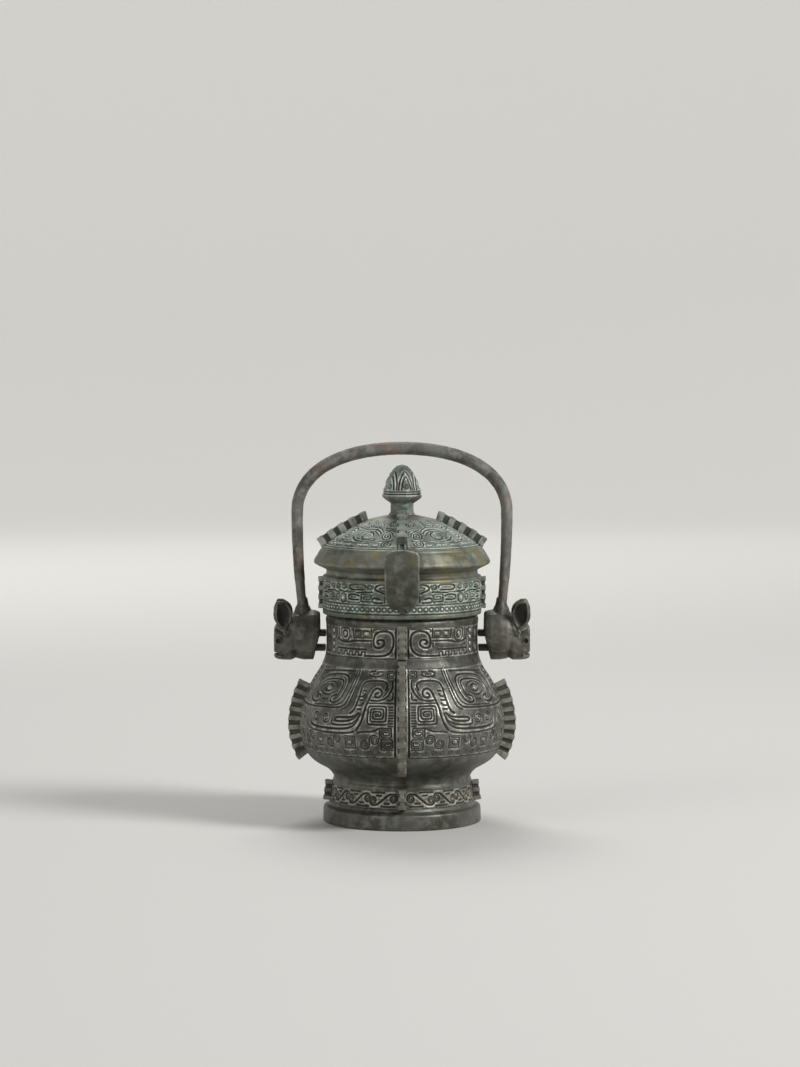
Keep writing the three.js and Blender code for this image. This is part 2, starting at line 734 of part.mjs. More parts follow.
addNode("vessel_body", vesselBody, bronze);
for (const side of Object.keys(sides)) {
  const size = sides[side].ratio > 1 ? frontBellyFlange : bellyFlange;
  addNode(`belly_flange_${side}`, flangeSolid(bodyRun(side, size), size, side), bronzeWorn);
  addNode(`foot_flange_${side}`, flangeSolid(bodyRun(side, footFlange), footFlange, side), bronzeWorn);
}
for (const side of ["front", "rear"]) {
  addNode(`neck_flange_${side}`, flangeSolid(bodyRun(side, neckFlange), neckFlange, side), bronzeWorn);
}
addNode("lug_left", lugSolid(-1), bronze);
addNode("lug_right", lugSolid(1), bronze);

addNode("lid_shell", lidShell, bronzeGreen);
addNode("lid_knob", lidKnob, bronzeWorn);
for (const side of Object.keys(sides)) {
  const size = sides[side].ratio > 1 ? frontDomeFlange : domeFlange;
  addNode(`dome_flange_${side}`, flangeSolid(domeRun(side, size.inner, size.outer), size, side), bronzeWorn);
}
for (const side of ["left", "right"]) {
  addNode(`collar_flange_${side}`, flangeSolid(collarRun, collarFlange, side), bronzeWorn);
}
for (const side of ["front", "rear"]) {
  addNode(`lid_horn_${side}`, hornSolid(side), bronze);
}

addNode("bail_handle", bailHandle, bronzeWorn);
addNode("bail_head_left", headSolid(-1), bronzeGreen);
addNode("bail_head_right", headSolid(1), bronzeGreen);

export default part;
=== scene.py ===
import math
import bmesh
import bpy
import numpy as np
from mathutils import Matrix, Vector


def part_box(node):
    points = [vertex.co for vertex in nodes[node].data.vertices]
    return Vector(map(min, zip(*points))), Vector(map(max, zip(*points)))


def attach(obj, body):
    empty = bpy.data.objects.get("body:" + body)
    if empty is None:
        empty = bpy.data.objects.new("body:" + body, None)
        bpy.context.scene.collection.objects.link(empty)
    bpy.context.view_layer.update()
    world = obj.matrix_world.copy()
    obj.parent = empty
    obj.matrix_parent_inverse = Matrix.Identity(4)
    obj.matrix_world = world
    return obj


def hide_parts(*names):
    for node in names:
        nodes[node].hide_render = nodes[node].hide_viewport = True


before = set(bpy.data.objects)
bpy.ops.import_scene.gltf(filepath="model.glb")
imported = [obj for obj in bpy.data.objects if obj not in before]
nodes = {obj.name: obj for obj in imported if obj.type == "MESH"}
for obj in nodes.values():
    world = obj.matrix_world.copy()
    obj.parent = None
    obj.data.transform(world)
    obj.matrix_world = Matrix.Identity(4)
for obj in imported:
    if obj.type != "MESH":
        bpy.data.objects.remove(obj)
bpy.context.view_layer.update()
mm = 0.001
tiny = 1e-9
fullTurn = 2 * math.pi
print("stage: frame loaded,", len(nodes), "nodes")


# The section of a turned node in the half plane y = 0, x >= 0, as ordered points in mm
def sectionChain(nodeName):
    mesh = nodes[nodeName].data
    places = [tuple(round(c / mm, 3) + 0.0 for c in v.co) for v in mesh.vertices]
    links = {}
    for edge in mesh.edges:
        a, b = places[edge.vertices[0]], places[edge.vertices[1]]
        if a != b and all(abs(p[1]) < 0.01 and p[0] > -0.01 for p in (a, b)):
            links.setdefault(a, set()).add(b)
            links.setdefault(b, set()).add(a)
    start = max(links, key=lambda p: (-p[2], p[0]))
    chains = []
    seen = {start}
    for first in sorted(links[start], key=lambda p: -p[0]):
        chain = []
        here = first
        while here is not None and here not in seen:
            seen.add(here)
            chain.append(here)
            following = [p for p in links[here] if p not in seen]
            here = max(following, key=lambda p: p[0]) if following else None
        chains.append(chain)
    inner = chains[1] if len(chains) > 1 else []
    chain = inner[::-1] + [start] + chains[0]
    return np.array([(p[0], p[2]) for p in chain])


# Distance run at each point of a path
def runLengths(path):
    return np.concatenate([[0], np.cumsum(np.linalg.norm(np.diff(path, axis=0), axis=1))])


# Points at even steps along a chain, curved between its sharp corners
def evenProfile(chain, step, cornerAngle=30, soften=2, fineStep=0.15):
    way = np.diff(chain, axis=0)
    turn = np.abs(np.diff(np.unwrap(np.arctan2(way[:, 1], way[:, 0]))))
    sharp = [i + 1 for i, a in enumerate(turn) if a > math.radians(cornerAngle)]
    corners = [0] + sharp + [len(chain) - 1]
    pieces = []
    for first, last in zip(corners[:-1], corners[1:]):
        run = chain[first:last + 1]
        padded = np.vstack([2 * run[0] - run[1], run, 2 * run[-1] - run[-2]])
        for i in range(len(run) - 1):
            p0, p1, p2, p3 = padded[i:i + 4]
            span = np.linalg.norm(p2 - p1)
            t = np.linspace(0, 1, max(2, int(span / fineStep)), endpoint=False)[:, None]
            m1 = (p2 - p0) / 2 if i else (p2 - p1)
            m2 = (p3 - p1) / 2 if i < len(run) - 2 else (p2 - p1)
            m1, m2 = (m * min(1, span / max(np.linalg.norm(m), tiny)) for m in (m1, m2))
            a = 2 * t**3 - 3 * t**2 + 1
            b = t**3 - 2 * t**2 + t
            pieces.append(a * p1 + b * m1 + (1 - a) * p2 + (t**3 - t**2) * m2)
    fine = np.vstack(pieces + [chain[-1:]])
    length = runLengths(fine)
    where = np.linspace(0, length[-1], int(length[-1] / step) + 1)
    even = np.column_stack([np.interp(where, length, fine[:, k]) for k in (0, 1)])
    for _ in range(soften):
        even[1:-1] = (even[:-2] + 2 * even[1:-1] + even[2:]) / 4
    return even


def profileNormals(profile):
    way = np.gradient(profile, axis=0)
    way = way / np.maximum(np.linalg.norm(way, axis=1), tiny)[:, None]
    return np.column_stack([way[:, 1], -way[:, 0]])


def addObject(name, data):
    thing = bpy.data.objects.new(name, data)
    bpy.context.scene.collection.objects.link(thing)
    return thing


def builtMesh(name, build):
    mesh = bpy.data.meshes.new(name)
    build.to_mesh(mesh)
    build.free()
    return mesh


def shadeSmooth(mesh):
    mesh.polygons.foreach_set("use_smooth", np.ones(len(mesh.polygons), bool))


def finishMesh(name, verts, faces, uv=None):
    mesh = bpy.data.meshes.new(name)
    mesh.from_pydata(verts, [], faces)
    shadeSmooth(mesh)
    if uv is not None:
        layer = mesh.uv_layers.new(name="OFBake")
        loops = np.zeros(len(mesh.loops), np.int32)
        mesh.loops.foreach_get("vertex_index", loops)
        layer.data.foreach_set("uv", uv[loops].astype(np.float32).ravel())
    mesh.update()
    return addObject(name, mesh)


# Places in mm and normals
def vertexArrays(piece):
    count = len(piece.data.vertices)
    co, normal = np.zeros(count * 3), np.zeros(count * 3)
    piece.data.vertices.foreach_get("co", co)
    piece.data.vertices.foreach_get("normal", normal)
    return co.reshape(-1, 3) / mm, normal.reshape(-1, 3)


def setVertices(piece, co):
    piece.data.vertices.foreach_set("co", (co * mm).ravel())
    piece.data.update()


# The relief layer tells the finishes what is flat (0.5), ridge (1) or crevice (0); crevices are painted
# darker as dark patina and painted shade, ridges paler as wear and painted highlight
def paintRelief(piece, values):
    layers = piece.data.attributes
    layer = layers.get("relief") or layers.new("relief", "FLOAT", "POINT")
    layer.data.foreach_set("value", np.clip(values, 0, 1).astype(np.float32))


def readRelief(piece):
    values = np.zeros(len(piece.data.vertices), np.float32)
    piece.data.attributes["relief"].data.foreach_get("value", values)
    return values


# Relief from how far each vertex stands proud of its neighbourhood
def reliefByShape(piece, settings):
    co, normal = vertexArrays(piece)
    count = len(co)
    ends = np.zeros(len(piece.data.edges) * 2, np.int32)
    piece.data.edges.foreach_get("vertices", ends)
    a, b = ends.reshape(-1, 2).T
    degree = np.maximum(np.bincount(a, minlength=count) + np.bincount(b, minlength=count), 1)
    calm = co
    for _ in range(settings["reach"]):
        total = [np.bincount(a, calm[b, k], count) + np.bincount(b, calm[a, k], count) for k in range(3)]
        calm = np.column_stack(total) / degree[:, None]
    paintRelief(piece, 0.5 + settings["gain"] * ((co - calm) * normal).sum(1))


def voxelRemesh(piece, voxel):
    fine = piece.modifiers.new("fine", "REMESH")
    fine.mode = "VOXEL"
    fine.voxel_size = voxel * mm


# A soft cast copy of a CAD node, with extras joined on and hollows cut out
def castCopy(nodeName, settings, extras=(), hollows=()):
    build = bmesh.new()
    for mesh in (nodes[nodeName].data, *extras):
        build.from_mesh(mesh)
    bmesh.ops.remove_doubles(build, verts=build.verts, dist=1e-6)
    rough = addObject(nodeName + "_raw", builtMesh(nodeName + "_raw", build))
    voxelRemesh(rough, settings["voxel"])
    cutters = [addObject("hollow", hollow) for hollow in hollows]
    for cutter in cutters:
        carve = rough.modifiers.new("carve", "BOOLEAN")
        carve.operation = "DIFFERENCE"
        carve.object = cutter
    if cutters:
        voxelRemesh(rough, settings["voxel"])
    soft = rough.modifiers.new("soft", "SMOOTH")
    soft.factor = 0.5
    soft.iterations = settings["passes"]
    done = bpy.data.meshes.new_from_object(rough.evaluated_get(bpy.context.evaluated_depsgraph_get()))
    for used in [rough] + cutters:
        bpy.data.objects.remove(used)
    done.name = nodeName + "_cast"
    shadeSmooth(done)
    return addObject(nodeName + "_cast", done)


# Smooth seeded unevenness from a few crossing waves, about -1 to 1
def unevenness(co, size, seed):
    rng = np.random.default_rng(seed)
    total = np.zeros(len(co))
    for _ in range(9):
        way = rng.normal(size=3)
        way = way / np.linalg.norm(way) * rng.uniform(0.6, 1.6) * fullTurn / size
        total += np.sin(co @ way + rng.uniform(0, fullTurn))
    return total / 4


# Body the piece rides on, its finish slot (not used) and the CAD nodes it stands for
def seat(piece, body, slot, *replaced):
    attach(piece, body)
    if replaced:
        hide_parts(*replaced)


# Groove drawing. A stroke is a path in panel mm with a width and a depth.
def rounded(path, times=2):
    path = np.array(path, float)
    for _ in range(times):
        a, b = path[:-1], path[1:]
        cut = np.empty((2 * len(a), 2))
        cut[0::2] = 0.75 * a + 0.25 * b
        cut[1::2] = 0.25 * a + 0.75 * b
        path = np.vstack([path[:1], cut, path[-1:]])
    return path


# Corners rounded to one radius, so that squared scrolls stay square
def cornered(path, radius):
    path = np.array(path, float)
    done = [path[0]]
    for before, here, after in zip(path[:-2], path[1:-1], path[2:]):
        first, last = (
            here + (end - here) * min(0.5, radius / max(np.linalg.norm(end - here), tiny))
            for end in (before, after)
        )
        for s in np.linspace(0, 1, 5):
            done.append((1 - s)**2 * first + 2 * s * (1 - s) * here + s**2 * last)
    return np.array(done + [path[-1]])


def squareSpiral(halfWide, halfTall, pitch, radius=0.8):
    path = [(-halfWide, -halfTall)]
    left, right, low, high = -halfWide, halfWide, -halfTall, halfTall
    while right - left > 0.6 * pitch and high - low > 0.6 * pitch:
        path += [(right, low), (right, high), (left, high)]
        low += pitch
        path.append((left, low))
        left += pitch
        right -= pitch
        high -= pitch
    return cornered(path[:-1], radius)


def roundSpiral(radius, turns, start, inner=0.12):
    t = np.linspace(0, 1, int(18 * turns) + 4)
    angle = math.radians(start) + t * turns * fullTurn
    reach = radius * (1 - (1 - inner) * t)
    return np.column_stack([reach * np.cos(angle), reach * np.sin(angle)])


# Even points on a curve through the given points
def smoothPath(points, count=24):
    points = np.array(points, float)
    padded = np.vstack([2 * points[0] - points[1], points, 2 * points[-1] - points[-2]])
    where = np.linspace(0, len(points) - 1, count)
    path = []
    for s in where:
        i = min(int(s), len(points) - 2)
        t = s - i
        p0, p1, p2, p3 = padded[i:i + 4]
        path.append(0.5 * (2 * p1 + (p2 - p0) * t + (2 * p0 - 5 * p1 + 4 * p2 - p3) * t**2
                           + (3 * p1 - p0 - 3 * p2 + p3) * t**3))
    return np.array(path)


# Mean over a square neighbourhood of a grid
def spread(grid, reach):
    size = 2 * reach + 1
    for axis in (0, 1):
        edge = [(reach + 1, reach) if k == axis else (0, 0) for k in (0, 1)]
        total = np.cumsum(np.pad(grid, edge, mode="edge"), axis=axis)
        high = np.take(total, range(size, total.shape[axis]), axis=axis)
        grid = (high - np.take(total, range(total.shape[axis] - size), axis=axis)) / size
    return grid


# Height in mm at the points p, q: strokes are cut in and bosses stand up
def grooveHeights(strokes, bosses, p, q, soft):
    height = np.zeros(len(p))
    for path, width, depth in strokes:
        reach = width / 2 + soft
        low, high = path.min(0) - reach, path.max(0) + reach
        near = np.nonzero((p > low[0]) & (p < high[0]) & (q > low[1]) & (q < high[1]))[0]
        if not len(near):
            continue
        x, y = p[near], q[near]
        gap = np.full(len(near), np.inf)
        for a, b in zip(path[:-1], path[1:]):
            way = b - a
            share = ((x - a[0]) * way[0] + (y - a[1]) * way[1]) / max(way @ way, tiny)
            share = np.clip(share, 0, 1)
            gap = np.minimum(gap, np.hypot(x - a[0] - share * way[0], y - a[1] - share * way[1]))
        cut = np.clip((reach - gap) / (2 * soft), 0, 1)
        height[near] = np.minimum(height[near], -depth * cut * cut * (3 - 2 * cut))
    for (bp, bq), radius, rise in bosses:
        gap = np.hypot(p - bp, q - bq) / radius
        height += np.where(gap < 1, rise * np.sqrt(np.clip(1 - gap * gap, 0, 1)), 0)
    return height


def gridFaces(index, outward):
    a, b, c, d = index[:-1, :-1], index[:-1, 1:], index[1:, 1:], index[1:, :-1]
    order = (a, b, c, d) if outward else (d, c, b, a)
    return np.column_stack([corner.ravel() for corner in order]).tolist()


# Groove softness, coarse back, waves, relief tones and bake layout of every ornament slab
panelSettings = {
    "soft": 0.42, "back": 8, "waves": ((0.05, 9), (0.03, 2.6)), "near": 4,
    "flat": 0.53, "proud": 0.85, "height": 0.12, "hidden": 0.3,
    "uvAcross": (0.01, 0.98), "uvTop": (0.07, 0.92), "uvUnder": (0.01, 0.04),
}


# Ornament on a quarter of an oval wall: across runs from 0 at the front or rear to 100 at the side
class Panel:
    def __init__(self, profile, limits, settings, wide, level=None):
        self.profile, self.settings, self.wide = profile, settings, wide
        self.normals = profileNormals(profile)
        self.lengths = runLengths(profile)
        self.level = profile[:, 1] if level is None else level
        self.low, self.high = (float(np.interp(v, self.level, self.lengths)) for v in limits)
        self.angles = np.linspace(0, math.pi / 2, 2000)
        rate = np.hypot(np.cos(self.angles), depthRatio * np.sin(self.angles))
        arc = np.concatenate([[0], np.cumsum((rate[1:] + rate[:-1]) / 2)])
        self.arc = arc / arc[-1]
        self.strokes, self.bosses = [], []

    def at(self, across, level):
        return across / 100 * self.wide, float(np.interp(level, self.level, self.lengths))

    def line(self, points, width=1.15, depth=0.85, times=2):
        path = [self.at(*point) for point in points]
        self.strokes.append((rounded(path, times), width, depth))

    def motif(self, path, across, level, wide=1.0, tall=1.0, width=1.05, depth=0.8):
        points = np.array(path, float) * (wide, tall) + self.at(across, level)
        self.strokes.append((points, width, depth))

    def box(self, across, level, wide, tall, pitch=1.8, flip=1, radius=0.8, **how):
        path = squareSpiral(abs(wide), abs(tall), pitch, radius)
        self.motif(path, across, level, flip, math.copysign(1, tall), **how)

    def coil(self, across, level, wide, tall, turns=1.6, start=0, inner=0.2, **how):
        self.motif(roundSpiral(1, turns, start, inner), across, level, wide, tall, **how)

    def hoop(self, across, level, wide, tall, **how):
        self.coil(across, level, wide, tall, 1, 0, 1, **how)

    def ladder(self, across, levels, half):
        for level in levels:
            self.motif([(-half, 0), (half, 0)], across, level, width=0.85, depth=0.65)

    def scroll(self, across, level, radius, turns=1.6, start=0, flip=1, stretch=1.0, **how):
        self.motif(roundSpiral(radius, turns, start), across, level, flip * stretch, **how)

    # Two coils linked by one line, the left one higher
    def pair(self, across, level, radius, turns=2.0, step=1.5, **how):
        upper = roundSpiral(radius, turns, 0, 0.14) + np.array((-radius, step))
        lower = roundSpiral(radius, turns, 180, 0.14) + np.array((radius, -step))
        self.motif(np.vstack([upper[::-1], lower]), across, level, **how)

    def boss(self, across, level, radius, rise):
        self.bosses.append((self.at(across, level), radius, rise))

    # A closed slab let into the wall, for one of the four quarters
    def slab(self, name, sideX, sideY, seed):
        settings, look = self.settings, panelSettings
        back = look["back"]  # the hidden back has one face for so many of the front
        gap = settings["panelGap"] / self.wide
        spanShare = 1 - 2 * gap
        tallSpan = self.high - self.low
        columns, rows = (
            int(span / settings["grid"] / back) * back for span in (spanShare * self.wide, tallSpan)
        )
        share = np.linspace(gap, 1 - gap, columns + 1)
        along = np.linspace(self.low, self.high, rows + 1)
        shareGrid, alongGrid = (grid.ravel() for grid in np.meshgrid(share, along))
        height = grooveHeights(self.strokes, self.bosses, shareGrid * self.wide, alongGrid, look["soft"])
        apart = np.full(len(height), 7.0 * sideY)  # sets the waves of front and rear apart
        uneven = np.column_stack([shareGrid * self.wide * sideX, alongGrid, apart])
        for k, (much, size) in enumerate(look["waves"]):
            height += much * unevenness(uneven, size, seed + k)
        proud = height - spread(height.reshape(rows + 1, columns + 1), look["near"]).ravel()
        relief = look["flat"] + look["proud"] * proud + look["height"] * height
        border = np.minimum(alongGrid - self.low, self.high - alongGrid)
        drop = np.clip(1 - border / settings["edge"], 0, 1)
        height = height * (1 - drop) - settings["sink"] * drop
        top = self.onWall(shareGrid, alongGrid, height, sideX, sideY)
        coarseShare, coarseAlong = (grid.ravel() for grid in np.meshgrid(share[::back], along[::back]))
        under = self.onWall(coarseShare, coarseAlong, -settings["slab"], sideX, sideY)
        topIndex = np.arange(len(top)).reshape(rows + 1, columns + 1)
        underIndex = len(top) + np.arange(len(under)).reshape(rows // back + 1, columns // back + 1)
        outward = sideX * sideY < 0
        faces = gridFaces(topIndex, outward) + gridFaces(underIndex, not outward)
        rims = (
            (topIndex[0], underIndex[0], False), (topIndex[-1], underIndex[-1], True),
            (topIndex[:, 0], underIndex[:, 0], True), (topIndex[:, -1], underIndex[:, -1], False),
        )
        for upper, lower, swap in rims:
            for k in range(len(lower) - 1):
                face = lower[k:k + 2].tolist() + upper[k * back:(k + 1) * back + 1][::-1].tolist()
                faces.append(face if swap != outward else face[::-1])
        left, wide = look["uvAcross"]
        uv = [
            np.column_stack([left + wide * (s - gap) / spanShare, start + tall * (a - self.low) / tallSpan])
            for s, a, (start, tall) in (
                (shareGrid, alongGrid, look["uvTop"]), (coarseShare, coarseAlong, look["uvUnder"]),
            )
        ]
        piece = finishMesh(name, np.vstack([top, under]) * mm, faces, np.vstack(uv))
        paintRelief(piece, np.concatenate([relief, np.full(len(under), look["hidden"])]))
        return piece

    def onWall(self, share, along, lift, sideX, sideY):
        angle = np.interp(share, self.arc, self.angles)
        columns = (*self.profile.T, *self.normals.T)
        r, z, nr, nz = (np.interp(along, self.lengths, column) for column in columns)
        sine, cosine = sideX * np.sin(angle), sideY * np.cos(angle)
        place = np.column_stack([r * sine, depthRatio * r * cosine, z])
        upright = nz * np.hypot(depthRatio * sine, cosine)
        normal = np.column_stack([depthRatio * nr * sine, nr * cosine, upright])
        normal = normal / np.linalg.norm(normal, axis=1)[:, None]
        return place + normal * np.broadcast_to(lift, len(place))[:, None]


quadrants = {"front_right": (1, -1), "front_left": (-1, -1), "rear_right": (1, 1), "rear_left": (-1, 1)}


def fourSlabs(part, panel, body, slot):
    pieces = []
    for k, (place, (sideX, sideY)) in enumerate(quadrants.items()):
        piece = panel.slab(part + "_ornament_" + place, sideX, sideY, panel.settings["seed"] + k)
        seat(piece, body, slot)
        pieces.append(piece)
    print("stage:", part, "ornament,", len(piece.data.polygons), "faces each")
    return pieces


# The wall under the slabs lies deeper, so that their grooves stay open
def letIn(profile, bands, settings):
    sunk = np.zeros(len(profile))
    for first, last in bands:
        sunk[first + settings["margin"]:last - settings["margin"]] = settings["deep"]
    sunk[1:-1] = (sunk[:-2] + sunk[1:-1] + sunk[2:]) / 3
    return profile - profileNormals(profile) * sunk[:, None]


# Oval surface through a profile, with a tip where the profile ends on the axis
def turnedOval(name, profile, around):
    angle = np.linspace(0, fullTurn, around, endpoint=False)
    r, z = profile.T
    onAxis = [abs(r[0]) < 0.01, abs(r[-1]) < 0.01]
    body = profile[(1 if onAxis[0] else 0):(len(profile) - 1 if onAxis[1] else len(profile))]
    rows = len(body)
    verts = np.stack([
        body[:, :1] * np.cos(angle), depthRatio * body[:, :1] * np.sin(angle),
        np.repeat(body[:, 1:], around, 1),
    ], -1).reshape(-1, 3)
    index = np.arange(rows * around).reshape(rows, around)
    beside = np.roll(index, -1, 1)
    closed = not any(onAxis)
    upper = np.roll(index, -1, 0) if closed else index[1:]
    upperBeside = np.roll(beside, -1, 0) if closed else beside[1:]
    lower = index if closed else index[:-1]
    lowerBeside = beside if closed else beside[:-1]
    faces = np.stack([lower, lowerBeside, upperBeside, upper], -1).reshape(-1, 4).tolist()
    caps = []
    for end, row, flip in ((0, index[0], True), (1, index[-1], False)):
        if onAxis[end]:
            tip = len(verts) + len(caps)
            caps.append([0, 0, z[-end]])
            other = np.roll(row, -1)
            for a, b in zip(row.tolist(), other.tolist()):
                faces.append([b, a, tip] if flip else [a, b, tip])
    verts = np.vstack([verts, np.array(caps).reshape(-1, 3)])
    return finishMesh(name, verts * mm, faces)


# Painted shade: faces turned down are painted darker, as if shaded from above
def shadeUnder(piece, plain=0.58, darker=0.26, steep=1.3):
    normal = vertexArrays(piece)[1]
    paintRelief(piece, plain - darker * np.clip(-steep * normal[:, 2], 0, 1))


# First and last row of a profile between two heights
def profileBand(profile, limits):
    return tuple(int(np.argmin(np.abs(profile[:, 1] - z))) for z in limits)


# Length of a quarter of the oval
def quarterArc(halfWidth):
    t = np.linspace(0, math.pi / 2, 400)
    rate = np.hypot(np.cos(t), depthRatio * np.sin(t))
    return halfWidth * float((rate[1:] + rate[:-1]).sum() / 2 * (t[1] - t[0]))


def widthAt(profile, z):
    return float(np.interp(z, profile[:, 1], profile[:, 0]))


# The plain inside needs fewer rows than the outer wall
def thinRows(profile, first, last, every):
    final = len(profile) - 1
    return profile[[k for k in range(final + 1) if first <= k <= last or k % every == 0 or k == final]]


# Vessel wall with let-in belly, neck and foot ornament
vesselSettings = {
    "step": 0.7, "around": 224, "deep": 1.1, "slab": 1.3, "grid": 0.4, "edge": 0.8, "sink": 0.3,
    "belly": (53.0, 119.6), "neck": (123.8, 149.0), "foot": (14.0, 29.6),
    "panelGap": 1.6, "margin": 3, "insideEvery": 5, "lipRows": 8, "seed": 11,
}


def drawBelly(panel):
    line, box = panel.line, panel.box
    fine = {"width": 0.95, "depth": 0.75}
    deep = {"width": 1.35, "depth": 1.0}
    line([(4.2, 118.6), (97, 118.6)], 1.3, 0.9)
    line([(4.2, 118.6), (3.8, 90), (3.8, 56)], 1.2, 0.9, times=0)
    line([(96.4, 118.6), (96.4, 58)])
    # top row beside the front flange
    box(7.6, 114.5, 3.0, 2.5, 1.35, width=0.85)
    line([(13.4, 114.6), (15, 113), (22.4, 113), (24, 114.8), (22.6, 116.5), (19.2, 116.4)], 1.1, 0.85)
    line([(13.6, 116.2), (17, 116.2), (18.2, 115)], **fine)
    line([(16.4, 114.6), (20.6, 114.6)], **fine)
    # trunk: a broad band that curls under itself
    line([(10.2, 104), (9, 107.4), (11.4, 109.8), (16, 110.2), (23.6, 109.8), (26.6, 107.2), (27, 100.4),
          (27.8, 94), (29, 89.4), (31.6, 87)], **deep)
    line([(26.8, 75), (24.2, 79.6), (22.8, 85), (22, 91.2), (20.6, 96.4), (19.2, 101.2), (17.8, 104.2),
          (15.4, 105.2), (13, 103.8), (12.4, 101), (13.8, 98.7), (16.4, 98.7), (17.2, 100.6),
          (15.5, 101.8)], **deep)
    line([(6.2, 110), (5.7, 106), (7.2, 102), (9.5, 98.6), (13, 96.6), (17, 96.2),
          (19.2, 96.6)], 1.2, 0.9)
    line([(8.4, 105.2), (9.8, 101.6), (11.8, 99)], **fine)
    line([(5.4, 102), (5.5, 97), (8.4, 97)], **fine)
    line([(4.8, 94.9), (19.9, 94.7)], 1.0, 0.8)
    # short cuts across the trunk
    line([(23, 103), (25.2, 103.2)], **fine)
    line([(23.2, 101), (24.4, 99.2), (26.2, 99)], **fine)
    line([(24, 96.6), (26.4, 96.6)], **fine)
    line([(24, 94.6), (25, 92.8), (26.8, 92.8)], **fine)
    line([(24.6, 90.2), (27, 90.2)], **fine)
    # squared spiral and comb beside the front flange
    box(14.5, 86.3, 7.1, 6.6, 1.95, radius=2.0, depth=0.85)
    panel.ladder(6.3, np.arange(78.6, 93, 1.95), 1.6)
    # parallel contours of the great horn
    line([(29.8, 116.4), (30.6, 108), (32, 100), (33.2, 94), (35, 90.8), (38.4, 89)], **fine)
    line([(31.8, 116.4), (32.6, 108), (34, 100), (35.6, 94.6), (37.6, 91.6), (41, 90.3), (56, 89.7),
          (72, 89), (84, 89.6), (94, 90.6)], 1.1, 0.85)
    line([(33.9, 116.2), (34.7, 108), (36.2, 100.6), (38, 95.8), (40.2, 93.2), (44, 91.9), (56, 91.3),
          (66, 90.8)], **fine)
    line([(35.9, 116.2), (50, 115.6), (64, 114.9), (76, 113.8)], **fine)
    # horseshoe band with both ends curled in
    line([(44.8, 98.8), (47, 98.9), (49.6, 97.4), (50, 95), (47.8, 93.3), (44.6, 93.6), (41.6, 96),
          (39.6, 100.4), (38.4, 106), (39, 110.4), (42.2, 113), (50, 113.3), (60, 112.4), (68.4, 110.4),
          (72.6, 106.4), (74.2, 101), (73.8, 96.6), (71, 93.4), (66.4, 92.4), (62.4, 93.2), (60.8, 95.4),
          (62, 97.6), (64.6, 97.8)], **deep)
    line([(47, 96.2), (44.8, 98.8), (43.2, 102), (42.4, 106), (43.6, 109), (47.4, 110.1), (56, 109.6),
          (63, 108.2), (66.8, 105.2), (67.6, 101), (66.6, 98.6), (64.2, 95.6)], **deep)
    line([(40.8, 104), (41, 108.6), (43.4, 111.2), (50, 111.7), (60, 111), (67.6, 109), (70.4, 105.4),
          (71, 101)], 0.8, 0.55)
    # round eye with brow and lower lid inside the horseshoe
    panel.hoop(55, 103.4, 4.7, 2.9, width=1.1, depth=0.85)
    panel.boss(55, 103.4, 2.3, 0.6)
    line([(47, 104.6), (49.4, 107.2), (55, 108), (60.4, 106.8), (63.4, 103.8)], **fine)
    line([(48.4, 100.8), (51.6, 99), (55.4, 98.4), (59.2, 98.8), (62.4, 100.4)], **fine)
    line([(52, 95.8), (55, 95), (58, 95.6)], **fine)
    # beside the side flange
    line([(77.6, 116.4), (78.6, 108), (78.4, 100), (76.6, 93.6)], 1.2, 0.9)
    line([(80, 116.2), (81.2, 108), (81, 100), (79.6, 92.8)], **fine)
    for k, z in enumerate((112.8, 106.6, 100.4, 94.6)):
        box(89, z, 4.6, (2.7, -2.7)[k % 2], 1.2, (1, -1)[k % 2], width=0.8)
    # jaw: two tongues inside a hull
    line([(26, 87.2), (28.6, 84.8), (32, 84), (41, 83.7), (43, 82.1), (41.4, 80.6), (36, 80.8),
          (30.2, 82), (26, 87.2)], 1.25, 0.95)
    line([(27.4, 81.6), (30, 79.2), (36, 78.2), (43.6, 77.9), (45.4, 79.4), (44.6, 81)], 1.15, 0.9)
    line([(25, 86.6), (27, 80.4), (30.4, 76.8), (36.4, 75.4), (46, 75), (58, 75), (65.4, 76.2),
          (67.4, 80), (66.6, 85.6)], 1.35, 1.0)
    panel.coil(50.4, 82.4, 4.5, 4.0, 1.9, 150, 0.18, width=1.15, depth=0.9)
    panel.coil(60, 82, 4.4, 4.0, 1.9, 330, 0.18, width=1.15, depth=0.9)
    line([(28, 74.2), (31, 72.9), (36, 72.3), (46, 71.9), (58, 72), (68, 73.2), (72.4, 77),
          (73, 84)], 1.0, 0.8)
    panel.coil(80, 82.2, 4.6, 4.2, 1.7, 20, width=1.15, depth=0.9)
    box(90.4, 82, 4.6, 4, 1.9)
    # lower rows of linked coils and squared spirals
    line([(13.2, 76.6), (17.4, 74.2), (22, 74.4), (26, 73.2)], **fine)
    box(9.2, 73.2, 4.3, 3.9, 1.35, width=0.9)
    for f in (18.6, 43, 67.4):
        panel.pair(f, 66.6, 3.9, 2.3, 1.6, width=1.0)
    box(8.4, 64.8, 4.3, 3.74, 1.35, width=0.9)
    for f, way in ((30.8, -1), (55.2, 1), (79.6, -1), (89.8, 1)):
        box(f, 66, 4.3, 4.4 * way, 1.35, way, width=0.9)
    panel.pair(84.4, 75, 2.9, 1.9, 0.5, width=0.95)
    for k, f in enumerate(np.arange(7.4, 95, 5.4)):
        panel.coil(f, 58.2, 2.2, 1.9, 1.8, 180 * (k % 2), width=0.8, depth=0.55)
    line([(4.4, 54.8), (96, 54.8)], 0.9, 0.55)


